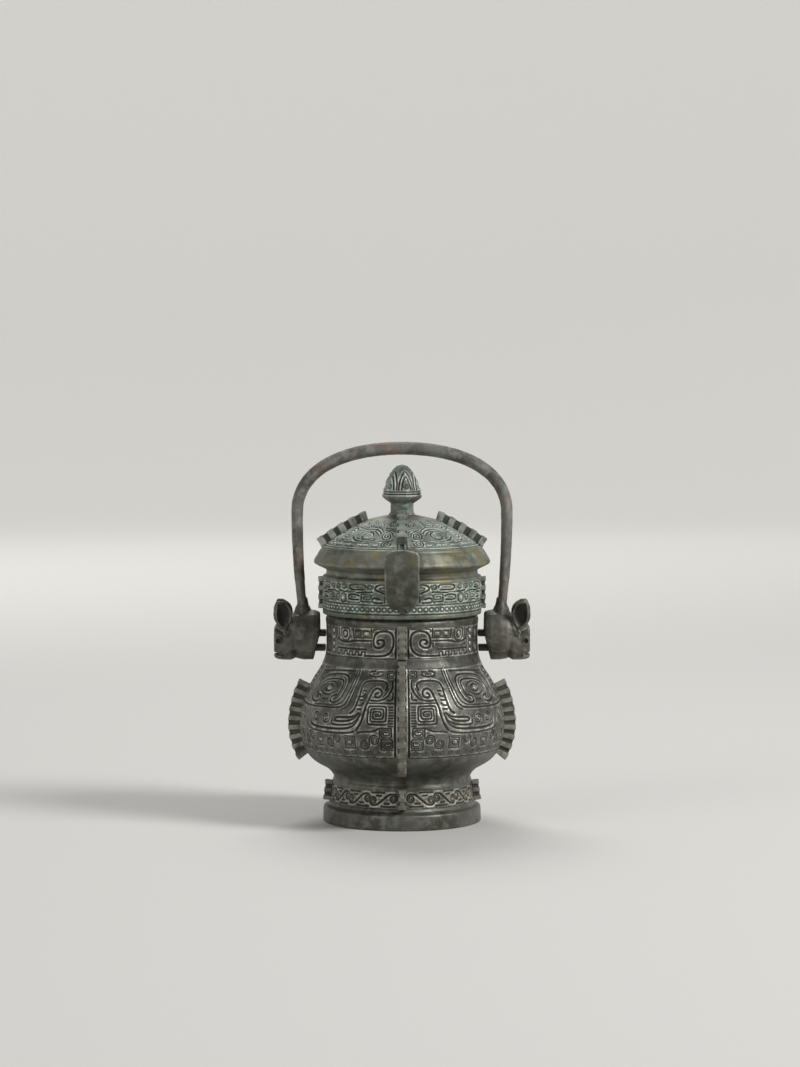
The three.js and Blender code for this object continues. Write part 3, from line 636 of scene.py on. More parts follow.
def drawNeck(panel):
    line = panel.line
    fine = {"width": 0.9, "depth": 0.7}
    line([(4.6, 147.9), (88, 147.9), (88, 125), (4.6, 125), (4.6, 147.9)], 1.05, 0.8, times=0)
    line([(6.2, 146.6), (21.8, 146.6), (22.4, 144.4)], **fine)
    # curled trunk that runs on as the body
    line([(30, 126.8), (15.6, 126.9), (10.4, 128.4), (7.2, 131.6), (6, 136.6), (6.4, 141.6), (8.8, 144.6),
          (12.4, 145.4), (17.4, 144.8), (20.8, 142.6), (22.3, 139), (22.2, 134.6), (19.8, 132.9),
          (16.2, 133.1), (13.6, 135.2), (13.4, 137.6), (15.2, 139), (18.4, 138.6), (19.5, 137),
          (17.6, 135.8)], 1.3, 0.95)
    line([(24, 136.8), (24, 133.4)], **fine)
    # twin framed squares, then the eye
    line([(23.8, 146.2), (23.6, 139.9), (40.2, 139.7), (41.2, 145.6)], 1.1, 0.85, times=0)
    square = cornered([(-3, -2), (-3, 2), (3, 2), (3, -2), (-3, -2)], 0.6)
    for f in (28.2, 36):
        panel.motif(square, f, 143, width=0.85, depth=0.7)
        panel.boss(f, 143, 1.3, 0.5)
    line([(23.8, 138), (40, 137.8), (46, 136.2), (54, 136.2), (60.4, 138.4)], 1.2, 0.9)
    panel.motif(cornered([(-5, -1), (-5, 4.6), (5, 4.6), (5, -1), (3.4, -4.6), (-3.4, -4.6), (-5, -1)], 2.2),
                50, 141.8, width=1.15, depth=0.9)
    panel.hoop(50, 142.2, 2.6, 2.6, width=0.9, depth=0.7)
    panel.boss(50, 142.2, 1.8, 0.6)
    line([(58.6, 146.4), (58.6, 140.4), (61.4, 137), (61.4, 130)], 1.1, 0.85)
    # stepped line under the body
    line([(28.6, 131.4), (60.4, 131.4)], 1.1, 0.85)
    steps = [(29.4 + 3.1 * (k // 2), (127.2, 129.8)[(k + 1) // 2 % 2]) for k in range(21)]
    line(steps, 0.9, 0.75, times=0)
    line([(64.2, 146.2), (64.2, 127)])
    line([(70.6, 146.2), (70.6, 127)])
    for z in (143.6, 138.8, 134, 129.2):
        panel.boss(67.4, z, 1.7, 0.55)
        panel.hoop(67.4, z, 2.1, 2.1, width=0.7, depth=0.5)
    panel.scroll(79.2, 141.8, 4.3, 2.1, 200, 1)
    panel.scroll(79.2, 131, 4.3, 2.1, 20, -1)


def drawFoot(panel):
    line = panel.line
    line([(4, 28.8), (96, 28.8)], 0.9, 0.6)
    line([(4, 15.2), (96, 15.2)], 0.9, 0.6)
    # long coils lying end to end between fine lines
    for f in (5, 28, 51, 74):
        upper = roundSpiral(3.2, 1.8, 90, 0.2) + np.array((-8, 0.8))
        lower = roundSpiral(3.2, 1.8, 270, 0.2) + np.array((8, -0.8))
        slope = smoothPath([upper[0], (-4.6, 3.4), (0, 0), (4.6, -3.4), lower[0]], 20)
        panel.motif(np.vstack([upper[:0:-1], slope, lower[1:]]), f + 10.6, 22, width=1.15, depth=0.95)
        line([(f + 9.4, 27), (f + 21, 27)], 1.0, 0.85)
        line([(f + 12, 24.9), (f + 16, 24.9)], 1.0, 0.85)
        line([(f + 0.4, 17), (f + 11.8, 17)], 1.0, 0.85)
        line([(f + 5.4, 19.1), (f + 9.2, 19.1)], 1.0, 0.85)


vesselProfile = evenProfile(sectionChain("vessel_body"), vesselSettings["step"])
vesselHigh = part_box("vessel_body")[1]
depthRatio = vesselHigh.y / vesselHigh.x
footStart = int(np.lexsort((-vesselProfile[:, 0], vesselProfile[:, 1]))[0])
lipEnd = int(np.argmax(vesselProfile[:, 1]))
outerWall = vesselProfile[footStart:lipEnd + 1]
vesselDrawers = {"belly": drawBelly, "neck": drawNeck, "foot": drawFoot}
bands = [[row + footStart for row in profileBand(outerWall, vesselSettings[part])] for part in vesselDrawers]
lipRows = vesselSettings["lipRows"]
wallProfile = letIn(vesselProfile, bands, vesselSettings)
wallProfile = thinRows(wallProfile, footStart - lipRows, lipEnd + lipRows, vesselSettings["insideEvery"])
vesselWall = turnedOval("vessel_wall", wallProfile, vesselSettings["around"])
shadeUnder(vesselWall)
seat(vesselWall, "vessel", "wall_bronze", "vessel_body")
ornaments = {}
for part, draw in vesselDrawers.items():
    limits = vesselSettings[part]
    widest = max(widthAt(outerWall, z) for z in np.linspace(*limits, 9))
    panel = Panel(outerWall, limits, vesselSettings, quarterArc(widest))
    draw(panel)
    ornaments[part] = fourSlabs(part, panel, "vessel", "wall_bronze")


# Lid shell with let-in dome and collar ornament
lidSettings = {
    "step": 0.6, "around": 224, "deep": 1.1, "slab": 1.3, "grid": 0.4, "edge": 0.7, "sink": 0.3,
    "collar": (155.4, 181.0), "dome": (203.6, 224.0), "collarMeasure": 160.4,
    "panelGap": 1.6, "margin": 3, "seed": 31,
}


def drawCollar(panel):
    line, box = panel.line, panel.box
    fine = {"width": 0.85, "depth": 0.65}
    bold = {"width": 1.15, "depth": 0.95}
    for z in (180.3, 164.2, 157.4):
        line([(2, z), (98, z)], 0.9, 0.65)
    # long loops, bars and hooks of the coiled bodies
    for f in (0, 39.2):
        line([(f + 27.4, 177.2), (f + 28.4, 179), (f + 41, 178.8), (f + 42.8, 176.8), (f + 40.6, 174.8),
              (f + 29.4, 175.2)], **bold)
        line([(f + 30.2, 177), (f + 38.4, 176.8)], **fine)
        line([(f + 22.4, 173.6), (f + 36, 172.9)], **bold)
        line([(f + 33.2, 170.6), (f + 36, 171.6), (f + 42.6, 171.4), (f + 44, 169.4), (f + 41.8, 167.6),
              (f + 34, 167.9)], **bold)
        line([(f + 36, 169.6), (f + 41, 169.4)], **fine)
        line([(f + 32.6, 165.8), (f + 44, 165.8)], **fine)
        box(f + 27.4, 169.2, 3.9, 2.6, 1.7)
        panel.coil(f + 48.4, 177, 3.0, 2.5, 1.6, 30)
        line([(f + 45, 173.6), (f + 48, 173), (f + 54.6, 174.2)], **bold)
        panel.hoop(f + 49.4, 168.8, 3.1, 3.3)
        panel.boss(f + 49.4, 168.8, 1.5, 0.5)
        panel.coil(f + 55.4, 177.4, -2.8, 2.2, 1.6, 210)
        panel.coil(f + 56.4, 169.4, 2.9, 3.2, 1.6, 120)
        line([(f + 60.4, 179.2), (f + 60.6, 173), (f + 62.6, 169), (f + 62.4, 165.6)], **fine)
        panel.coil(f + 24, 177.2, 2.7, 2.4, 1.6, 160, width=0.9)
        line([(f + 36.6, 173.4), (f + 43.4, 173.2)], **fine)
        line([(f + 22.6, 171.4), (f + 22.8, 166), (f + 24.4, 165.6)], **fine)
        line([(f + 45.8, 171.6), (f + 46, 166)], **fine)
        line([(f + 52.4, 179.2), (f + 52, 175.6)], **fine)
        line([(f + 53.2, 172.2), (f + 59.6, 173.2)], **fine)
    # pointed leaf and curls beside the front flange
    line([(10.6, 178.8), (16.6, 179.2), (21.6, 175.8), (11.4, 172.2)], **bold)
    line([(11.6, 176.8), (15.4, 177), (17, 175.8), (12.2, 174.2)], **fine)
    line([(14.6, 165.8), (21.4, 165.8), (22.8, 168), (20, 169.7), (16.6, 168.4)], **bold)
    line([(12, 170.6), (12.8, 166)], **fine)
    box(6.4, 176, 2.7, 3.2, 1.7)
    panel.coil(7, 168.4, 3.0, 3.2, 1.6, 0)
    for f in np.arange(4, 98, 4.4):
        panel.hoop(f, 160.9, 1.7, 1.5, width=0.75, depth=0.6)
        panel.boss(f, 160.9, 0.9, 0.3)


def drawDome(panel):
    line, scroll = panel.line, panel.scroll
    line([(3, 4), (97, 4)], 1.1, 0.8)
    line([(3, 9), (97, 9)], 0.9, 0.6)
    line([(3.6, 4), (4.6, 96)], 1.0, 0.7)
    line([(96.4, 4), (95.4, 96)], 1.0, 0.7)
    # eye, brow and jaw of the mask
    panel.hoop(36, 42, 6.6, 4.6, width=1.3, depth=0.95)
    panel.boss(36, 42, 3.6, 0.6)
    line([(22, 50), (27, 60), (37, 64), (48, 60), (53, 50), (50, 42)], 1.3, 0.95)
    line([(24, 44), (28, 54), (37, 57.6), (45, 54), (48, 47)], 0.9, 0.7)
    line([(20.4, 55), (25, 66), (37, 70.4), (50, 66), (56, 55)], 0.9, 0.7)
    line([(25, 30), (36, 25), (48, 28), (54, 36)], 1.3, 0.9)
    line([(26, 34), (36, 30), (46, 33)], 0.9, 0.7)
    scroll(14.5, 42, 6.2, 2.2, 0, -1, 1.0, width=1.15)
    scroll(14, 20, 4, 1.9, 180, 1, 1.2)
    scroll(67, 46, 9, 2.6, 200, 1, 1.1, width=1.2, depth=0.9)
    scroll(86, 30, 6, 2, 20, -1, 1.0)
    line([(54, 20), (62, 24), (72, 22), (80, 16)], 1.2, 0.9)
    line([(56, 25), (63, 28.6), (72, 27), (78, 22)], 0.9, 0.7)
    scroll(86, 58, 4.6, 1.9, 160, 1, 1.0)
    # long curved lines between the coils
    line([(8, 30), (10, 26), (16, 28), (22, 25), (28, 23)], 0.9, 0.7)
    line([(7, 56), (10, 60), (16, 58), (19, 62)], 0.9, 0.7)
    line([(7.4, 62), (11, 66), (17, 64.4), (20, 69)], 0.9, 0.7)
    line([(56, 64), (64, 68), (74, 65), (80, 68), (92, 67)], 0.9, 0.7)
    line([(78, 44), (84, 46), (90, 43), (94, 46)], 0.9, 0.7)
    for k, f in enumerate(np.arange(23, 80, 7.2)):
        panel.box(f, 15.4, 3.6, (2.6, -2.6)[k % 2], 1.2, (1, -1)[k % 2], width=0.75)
    for k, f in enumerate((13, 28, 44, 60, 78, 90)):
        scroll(f, 79 - 3 * (k % 2), 4.0, 1.8, 60 * k, (1, -1)[k % 2], 1.4)
    for k, f in enumerate((12, 31, 50, 69, 88)):
        panel.coil(f, 91.6, 2.5, 2.1, 1.8, 90 * k, width=0.8, depth=0.65)


lidProfile = evenProfile(sectionChain("lid_shell"), lidSettings["step"])
outerLid = lidProfile[:int(np.argmax(lidProfile[:, 1])) + 1]
lidBands = [profileBand(outerLid, lidSettings[part]) for part in ("collar", "dome")]
lidShell = turnedOval("lid_wall", letIn(lidProfile, lidBands, lidSettings), lidSettings["around"])
shadeUnder(lidShell)
seat(lidShell, "lid", "lid_bronze", "lid_shell")
collarWide = quarterArc(widthAt(outerLid, lidSettings["collarMeasure"]))
collarPanel = Panel(outerLid, lidSettings["collar"], lidSettings, collarWide)
drawCollar(collarPanel)
ornaments["collar"] = fourSlabs("collar", collarPanel, "lid", "lid_bronze")
# on the flat dome the level runs from 0 at the eave to 100 at the knob
domeRun = outerLid[lidBands[1][0]:lidBands[1][1] + 1]
domeWide = quarterArc(float(domeRun[:, 0].max()))
domePanel = Panel(domeRun, (0, 100), lidSettings, domeWide, np.linspace(0, 100, len(domeRun)))
drawDome(domePanel)
ornaments["dome"] = fourSlabs("dome", domePanel, "lid", "lid_bronze")


# Notched flanges, softened and planted into the walls they stand on
flangeSettings = {
    "voxel": 0.38, "passes": 3, "rootReach": 1.1, "rootSink": 1.0, "uneven": 0.07, "reach": 6, "gain": 0.85,
    "fill": 0.38, "pocketTone": 0.22, "ribTone": 0.54,
}


def plantFlange(piece, standOff, axis, sign):
    co, normal = vertexArrays(piece)
    share = np.clip(1 - standOff(co) / flangeSettings["rootReach"], 0, 1)
    co[:, axis] -= sign * flangeSettings["rootSink"] * share
    co += normal * (flangeSettings["uneven"] * unevenness(co, 5, 5))[:, None]
    setVertices(piece, co)


# Ribs stand out pale from the half-filled pockets between them: the pockets are painted darker (dark patina
# and painted shade), the ribs paler (wear and painted highlight)
def ribRelief(piece, across):
    co, normal = vertexArrays(piece)
    reach = np.abs(co[:, across])
    rib = np.percentile(reach, 97)  # half the width over the ribs
    share = np.clip((reach - 0.52 * rib) / (0.4 * rib), 0, 1)
    facing = np.clip((np.abs(normal[:, across]) - 0.35) / 0.4, 0, 1)
    fill = flangeSettings["fill"] * np.clip(rib - reach, 0, None) * np.clip(reach / (0.5 * rib), 0, 1)
    co[:, across] += np.sign(co[:, across]) * fill
    setVertices(piece, co)
    tone = flangeSettings["pocketTone"] + flangeSettings["ribTone"] * share
    paintRelief(piece, readRelief(piece) * (1 - facing) + tone * facing)


domeTop = outerLid[lidBands[1][0]:].T * [[-1], [1]]
flangePieces = {"vessel": [], "lid": []}
sides = {"front": (1, -1), "rear": (1, 1), "left": (0, -1), "right": (0, 1)}
for nodeName in sorted(n for n in nodes if "_flange_" in n):
    kind, side = nodeName.split("_flange_")
    axis, sign = sides[side]
    ratio = depthRatio if axis == 1 else 1.0
    body = "lid" if kind in ("dome", "collar") else "vessel"
    piece = castCopy(nodeName, flangeSettings)
    if kind == "dome":
        overDome = lambda co: co[:, 2] - np.interp(-np.abs(co[:, axis]) / ratio, *domeTop)
        plantFlange(piece, overDome, 2, 1)
    else:
        wall = outerLid if kind == "collar" else outerWall
        offWall = lambda co: sign * co[:, axis] - ratio * np.interp(co[:, 2], wall[:, 1], wall[:, 0])
        plantFlange(piece, offWall, axis, sign)
    reliefByShape(piece, flangeSettings)
    ribRelief(piece, 1 - axis)
    seat(piece, body, "lid_flange_bronze" if body == "lid" else "flange_bronze", nodeName)
    flangePieces[body].append(piece)
print("stage: flanges,", sum(len(v) for v in flangePieces.values()))


# Horn plates
hornSettings = {"voxel": 0.6, "passes": 7, "uneven": 0.12, "reach": 10, "gain": 0.7}
hornPieces = []
for side in ("front", "rear"):
    piece = castCopy("lid_horn_" + side, hornSettings)
    co, normal = vertexArrays(piece)
    setVertices(piece, co + normal * (hornSettings["uneven"] * unevenness(co, 11, 3))[:, None])
    reliefByShape(piece, hornSettings)
    seat(piece, "lid", "horn_bronze", "lid_horn_" + side)
    hornPieces.append(piece)


# Bud knob with carved facets
knobSettings = {
    "voxel": 0.36, "passes": 5, "facets": 6, "turn": 14, "budTall": 23.4, "soft": 0.4, "uneven": 0.06,
    "reach": 8, "gain": 1.3, "blades": ((0, 19.6), (2.0, 15.6)),
}
knob = castCopy("lid_knob", knobSettings)
co, normal = vertexArrays(knob)
facetSpan = fullTurn / knobSettings["facets"]
azimuth = np.arctan2(co[:, 1], co[:, 0]) - math.radians(knobSettings["turn"])
facetAngle = (azimuth % facetSpan) - facetSpan / 2
across = np.sin(facetAngle) * np.hypot(co[:, 0], co[:, 1])
rise = co[:, 2] - co[:, 2].max() + knobSettings["budTall"]
carving = [
    (np.array([(-6.4, 1.7), (6.4, 1.7)]), 1.0, 0.9),
    (np.array([(-6.2, 3.4), (6.2, 3.4)]), 0.9, 0.8),
    (roundSpiral(2.1, 1.9, 180, 0.2) + np.array((0, 7.6)), 0.85, 0.9),
]
for inset, top in knobSettings["blades"]:
    blade = [(5.7 - inset, 5), (5 - inset, 9.6 - 0.6 * inset), (2.9 - 0.5 * inset, 15 - 1.3 * inset)]
    left = [(-x, y) for x, y in blade]
    carving.append((rounded(left + [(0, top)] + blade[::-1]), 1.05, 1.0))
cut = grooveHeights(carving, [], across, rise, knobSettings["soft"])
cut[(rise < 0.5) | (normal[:, 2] < -0.2)] = 0
setVertices(knob, co + normal * (cut + knobSettings["uneven"] * unevenness(co, 4, 8))[:, None])
reliefByShape(knob, knobSettings)
seat(knob, "lid", "knob_bronze", "lid_knob")
print("stage: horns and knob")


# Closed loft through rings of equal count
def ringMesh(name, rings, tips=None):
    count = len(rings[0])
    tips = tips or [rings[0].mean(0), rings[-1].mean(0)]
    build = bmesh.new()
    verts = [build.verts.new(co * mm) for co in np.vstack(rings + [tips])]
    last = (len(rings) - 1) * count
    for k in range(count):
        n = (k + 1) % count
        for row in range(0, last, count):
            build.faces.new([verts[row + k], verts[row + n], verts[row + count + n], verts[row + count + k]])
        build.faces.new([verts[n], verts[k], verts[-2]])
        build.faces.new([verts[last + k], verts[last + n], verts[-1]])
    bmesh.ops.recalc_face_normals(build, faces=build.faces)
    return builtMesh(name, build)


def circle(count):
    angle = np.linspace(0, fullTurn, count, endpoint=False)
    return np.cos(angle)[:, None], np.sin(angle)[:, None]


# Bail with a corroded, uneven surface
bailSettings = {
    "voxel": 0.6, "passes": 8, "wave": 0.05, "pit": 0.14, "cover": 0.22, "runs": 150, "around": 24,
    "low": 170, "middle": 190, "crown": 200, "roughFrom": 156, "roughRun": 6, "reach": 8, "gain": 0.9,
}


# Smooth sweep along the strap's own section corners
def strapSweep():
    cover, middle = bailSettings["cover"], np.array((0, 0, bailSettings["middle"]))
    corners = np.array([vert.co for vert in nodes["bail_handle"].data.vertices]) / mm
    halfWidth = corners[corners[:, 2] > bailSettings["crown"], 1].max() + cover
    flat = corners[(np.abs(corners[:, 1]) < 0.02) & (corners[:, 2] > bailSettings["low"])]
    flat = np.unique(flat.round(2), axis=0)
    flat = flat[np.argsort(np.arctan2(flat[:, 0], flat[:, 2] - middle[2]))]
    first, second = flat[0::2], flat[1::2]
    farther = np.linalg.norm(first - middle, axis=1) > np.linalg.norm(second - middle, axis=1)
    half = (first - second) / 2 * np.where(farther, 1, -1)[:, None]
    cosine, sine = circle(bailSettings["around"])
    rings = []
    for row in smoothPath(np.hstack([(first + second) / 2, half]), bailSettings["runs"]):
        thick = row[3:] * (1 + cover / np.linalg.norm(row[3:]))
        rings.append(row[:3] + cosine * thick + sine * np.array((0, halfWidth, 0)))
    return ringMesh("strap", rings)


bail = castCopy("bail_handle", bailSettings, [strapSweep()])
co, normal = vertexArrays(bail)
clear = np.clip((co[:, 2] - bailSettings["roughFrom"]) / bailSettings["roughRun"], 0, 1)
pitted = unevenness(co, 2.4, 21) * unevenness(co, 6, 22)
lump = bailSettings["wave"] * unevenness(co, 7, 20) - bailSettings["pit"] * np.clip(pitted, 0, 2)
setVertices(bail, co + normal * (lump * clear)[:, None])
reliefByShape(bail, bailSettings)
seat(bail, "bail", "bail_bronze", "bail_handle")


# Animal heads
# dark: how much darker the ear hollows and nostril dents are painted, partly as dark patina and partly as
# painted shade
headSettings = {
    "voxel": 0.42, "passes": 7, "uneven": 0.07, "reach": 9, "gain": 0.7, "dark": 0.38,
    "nostril": (91.5, 12.6, 133.7), "dent": 1.9, "dentSize": 2.0,
    "hollow": (87.4, 153.6), "hollowSize": (5, 9), "hollowFrom": 8,
}


def tubeMesh(path, radius, around=10):
    path = np.array(path, float)
    way = np.gradient(path, axis=0)
    way = way / np.linalg.norm(way, axis=1)[:, None]
    u = np.cross(way, (0.37, 0.21, 0.9))
    u = u / np.linalg.norm(u, axis=1)[:, None]
    v = np.cross(way, u)
    cosine, sine = circle(around)
    radii = np.broadcast_to(radius, len(path))
    rings = [p + r * (cosine * a + sine * b) for p, a, b, r in zip(path, u, v, radii)]
    tips = [path[0] - way[0] * radii[0] * 0.5, path[-1] + way[-1] * radii[-1] * 0.5]
    return ringMesh("tube", rings, tips)


def ballMesh(middle, radii):
    build = bmesh.new()
    bmesh.ops.create_icosphere(build, subdivisions=3, radius=1.0)
    for vert in build.verts:
        vert.co = [(m + r * c) * mm for m, r, c in zip(middle, radii, vert.co)]
    return builtMesh("ball", build)


# Ear leaf and its hollow: rise, lean, width, stand-off and depth of each ring
earLeaf = [(0, -1.5, 0.3, -1.8, 0.45), (0.19, -0.6, 0.7, -1, 0.75), (0.4, 0, 0.96, -0.4, 0.95),
           (0.63, 0, 1, 0.2, 1), (0.84, 0.8, 0.8, 0.6, 0.9), (1, 2.4, 0.32, 0.8, 0.5)]
earDish = [(0.1, -1.4, 0.24, 2.2, 0.5), (0.36, -1, 0.7, 2, 1), (0.63, -0.9, 0.76, 2.4, 1.1),
           (0.92, 0.6, 0.42, 2.8, 0.8)]
earSettings = {
    "x": 88.1, "y": 13.4, "root": 142, "wide": 6.6, "deep": 3.6, "tall": 21.4, "around": 32, "rings": 22,
}


def earLoft(rows, mirror, face, grow):
    ear = earSettings
    cosine, sine = circle(ear["around"])
    rings = []
    for up, lean, wide, out, deep in smoothPath(rows, ear["rings"]):
        x = ear["x"] + lean + (ear["wide"] * wide + grow) * cosine
        y = face * (ear["y"] + out) + (ear["deep"] * deep + grow) * sine
        rings.append(np.hstack([mirror * x, y, np.full_like(x, ear["root"] + ear["tall"] * up)]))
    return ringMesh("ear", rings)


def headExtras(mirror):
    nose = smoothPath([(82, 0, 150), (84.4, 0, 145), (87, 0, 142), (90.6, 0, 143.4), (93.4, 0, 144.8)])
    meshes = [tubeMesh(nose * (mirror, 1, 1), 1.4)]
    # flare where the strap runs into the head, flattened like the strap
    levels, radii = (154.6, 157.6, 161, 165), np.array([8.4, 7.4, 6.4, 5.2])
    flare = tubeMesh([(0, 0, z) for z in levels], radii, 24)
    for vert in flare.vertices:
        vert.co.x = mirror * (73.5 * mm + 0.66 * vert.co.x * mirror)
    meshes.append(flare)
    for face in (-1, 1):
        turn = np.array([mirror, face, 1])
        meshes.append(earLoft(earLeaf, mirror, face, 0.2))
        # line that falls from the ear and curls round the eye
        fall = [(81.4, 12.6, 150.6), (81.6, 12.9, 147.4), (82, 13.4, 144.6), (82.7, 13.8, 142.2),
                (83.5, 14, 140.4)]
        curl = roundSpiral(2.1, 1.1, 190, 0.35)
        curl = np.column_stack([85.4 + curl[:, 0], np.full(len(curl), 14.0), 140.4 + curl[:, 1]])
        meshes.append(tubeMesh(np.vstack([smoothPath(fall, 16)[:-1], curl]) * turn, 0.8))
        nostril = roundSpiral(2.0, 1, 0, 1)
        depth = 12.3 - 0.32 * (nostril[:, 0] + 1)
        nostril = np.column_stack([91.4 + nostril[:, 0], depth, 133.9 + 1.1 * nostril[:, 1]])
        meshes.append(tubeMesh(nostril * turn, 0.65))
        cheek = smoothPath([(65.8, 13.4, 126.3), (71, 13.5, 126), (75.8, 13.3, 126.3)])
        meshes.append(tubeMesh(cheek * turn, 0.6))
        for z in (126.3, 122.7):
            lip = smoothPath([(89.4, 11.9, z), (92, 10.6, z), (93.8, 7.6, z), (94.2, 4, z), (94.4, 0, z)])
            meshes.append(tubeMesh(lip * turn, 0.6))
        meshes.append(ballMesh(np.array((89.8, 11.6, 122.4)) * turn, (1.4, 1.2, 1.3)))
    return meshes


headPieces = []
for side, mirror in (("left", -1), ("right", 1)):
    dishes = [earLoft(earDish, mirror, face, 0) for face in (-1, 1)]
    piece = castCopy("bail_head_" + side, headSettings, headExtras(mirror), dishes)
    co, normal = vertexArrays(piece)
    dent = np.zeros(len(co))
    hollow = np.zeros(len(co))
    for face in (-1, 1):
        turned = co * (mirror, face, 1)
        away = turned - headSettings["nostril"]
        dent += headSettings["dent"] * np.exp(-(away**2).sum(1) / headSettings["dentSize"])
        inEar = (((turned[:, [0, 2]] - headSettings["hollow"]) / headSettings["hollowSize"])**2).sum(1)
        outside = (turned[:, 1] > headSettings["hollowFrom"]) * np.clip(normal[:, 1] * face * 2, 0, 1)
        hollow += np.clip(1.4 - 1.4 * inEar, 0, 1) * outside
    setVertices(piece, co - normal * (dent - headSettings["uneven"] * unevenness(co, 5, 9))[:, None])
    reliefByShape(piece, headSettings)
    # The ear hollows and the nostril dents are painted darker through the relief layer: partly dark patina,
    # partly painted shade
    paintRelief(piece, readRelief(piece) - headSettings["dark"] * np.clip(hollow + dent, 0, 1))
    seat(piece, "bail", "head_bronze", "bail_head_" + side)
    headPieces.append(piece)


# Lugs inside the heads
lugSettings = {"voxel": 0.45, "passes": 4, "reach": 6, "gain": 0.7}
lugPieces = []
for side in ("left", "right"):
    piece = castCopy("lug_" + side, lugSettings)
    reliefByShape(piece, lugSettings)
    seat(piece, "vessel", "wall_bronze", "lug_" + side)
    lugPieces.append(piece)
print("stage: bail, heads and lugs")


# Finishes
class Field:
    def __init__(self, finish, socket):
        self.finish, self.socket = finish, socket

    def maths(self, kind, first, second):
        return self.finish.node("ShaderNodeMath", {"operation": kind}, {0: first, 1: second})

    def __add__(self, other):
        return self.maths("ADD", self, other)

    def __radd__(self, other):
        return self.maths("ADD", other, self)

    def __sub__(self, other):
        return self.maths("SUBTRACT", self, other)

    def __rsub__(self, other):
        return self.maths("SUBTRACT", other, self)

    def __mul__(self, other):
        return self.maths("MULTIPLY", self, other)

    def __rmul__(self, other):
        return self.maths("MULTIPLY", other, self)


class Finish:
    def __init__(self, name):
        self.material = bpy.data.materials.new(name)
        self.material.use_nodes = True
        self.tree = self.material.node_tree
        self.shader = next(n for n in self.tree.nodes if n.type == "BSDF_PRINCIPLED")
        self.place = self.node("ShaderNodeTexCoord", output=3)

    def node(self, kind, settings=None, inputs=None, output=0):
        node = self.tree.nodes.new(kind)
        for key, value in (settings or {}).items():
            setattr(node, key, value)
        for key, value in (inputs or {}).items():
            self.give(node.inputs[key], value)
        return Field(self, node.outputs[output])

    def give(self, socket, value):
        if isinstance(value, Field):
            self.tree.links.new(value.socket, socket)
        else:
            socket.default_value = value

    def noise(self, size, detail=3.0, rough=0.55, shift=0.0):
        where = self.place
        if shift:
            where = self.node("ShaderNodeVectorMath", {"operation": "ADD"}, {0: where, 1: (shift,) * 3})
        return self.node("ShaderNodeTexNoise", {}, {
            "Vector": where, "Scale": 1 / (size * mm), "Detail": detail, "Roughness": rough,
        })

    def cells(self, size):
        return self.node("ShaderNodeTexVoronoi", {}, {"Vector": self.place, "Scale": 1 / (size * mm)})

    def mask(self, field, low, high):
        return self.node("ShaderNodeMapRange", {"interpolation_type": "SMOOTHSTEP"}, {
            "Value": field, "From Min": low, "From Max": high,
        })

    def blend(self, share, under, over):
        return self.node("ShaderNodeMix", {"data_type": "RGBA"}, {0: share, 6: under, 7: over}, 2)


def tint(code):
    parts = [int(code[k:k + 2], 16) / 255 for k in (0, 2, 4)]
    return tuple(c / 12.92 if c <= 0.04045 else ((c + 0.055) / 1.055)**2.4 for c in parts) + (1.0,)


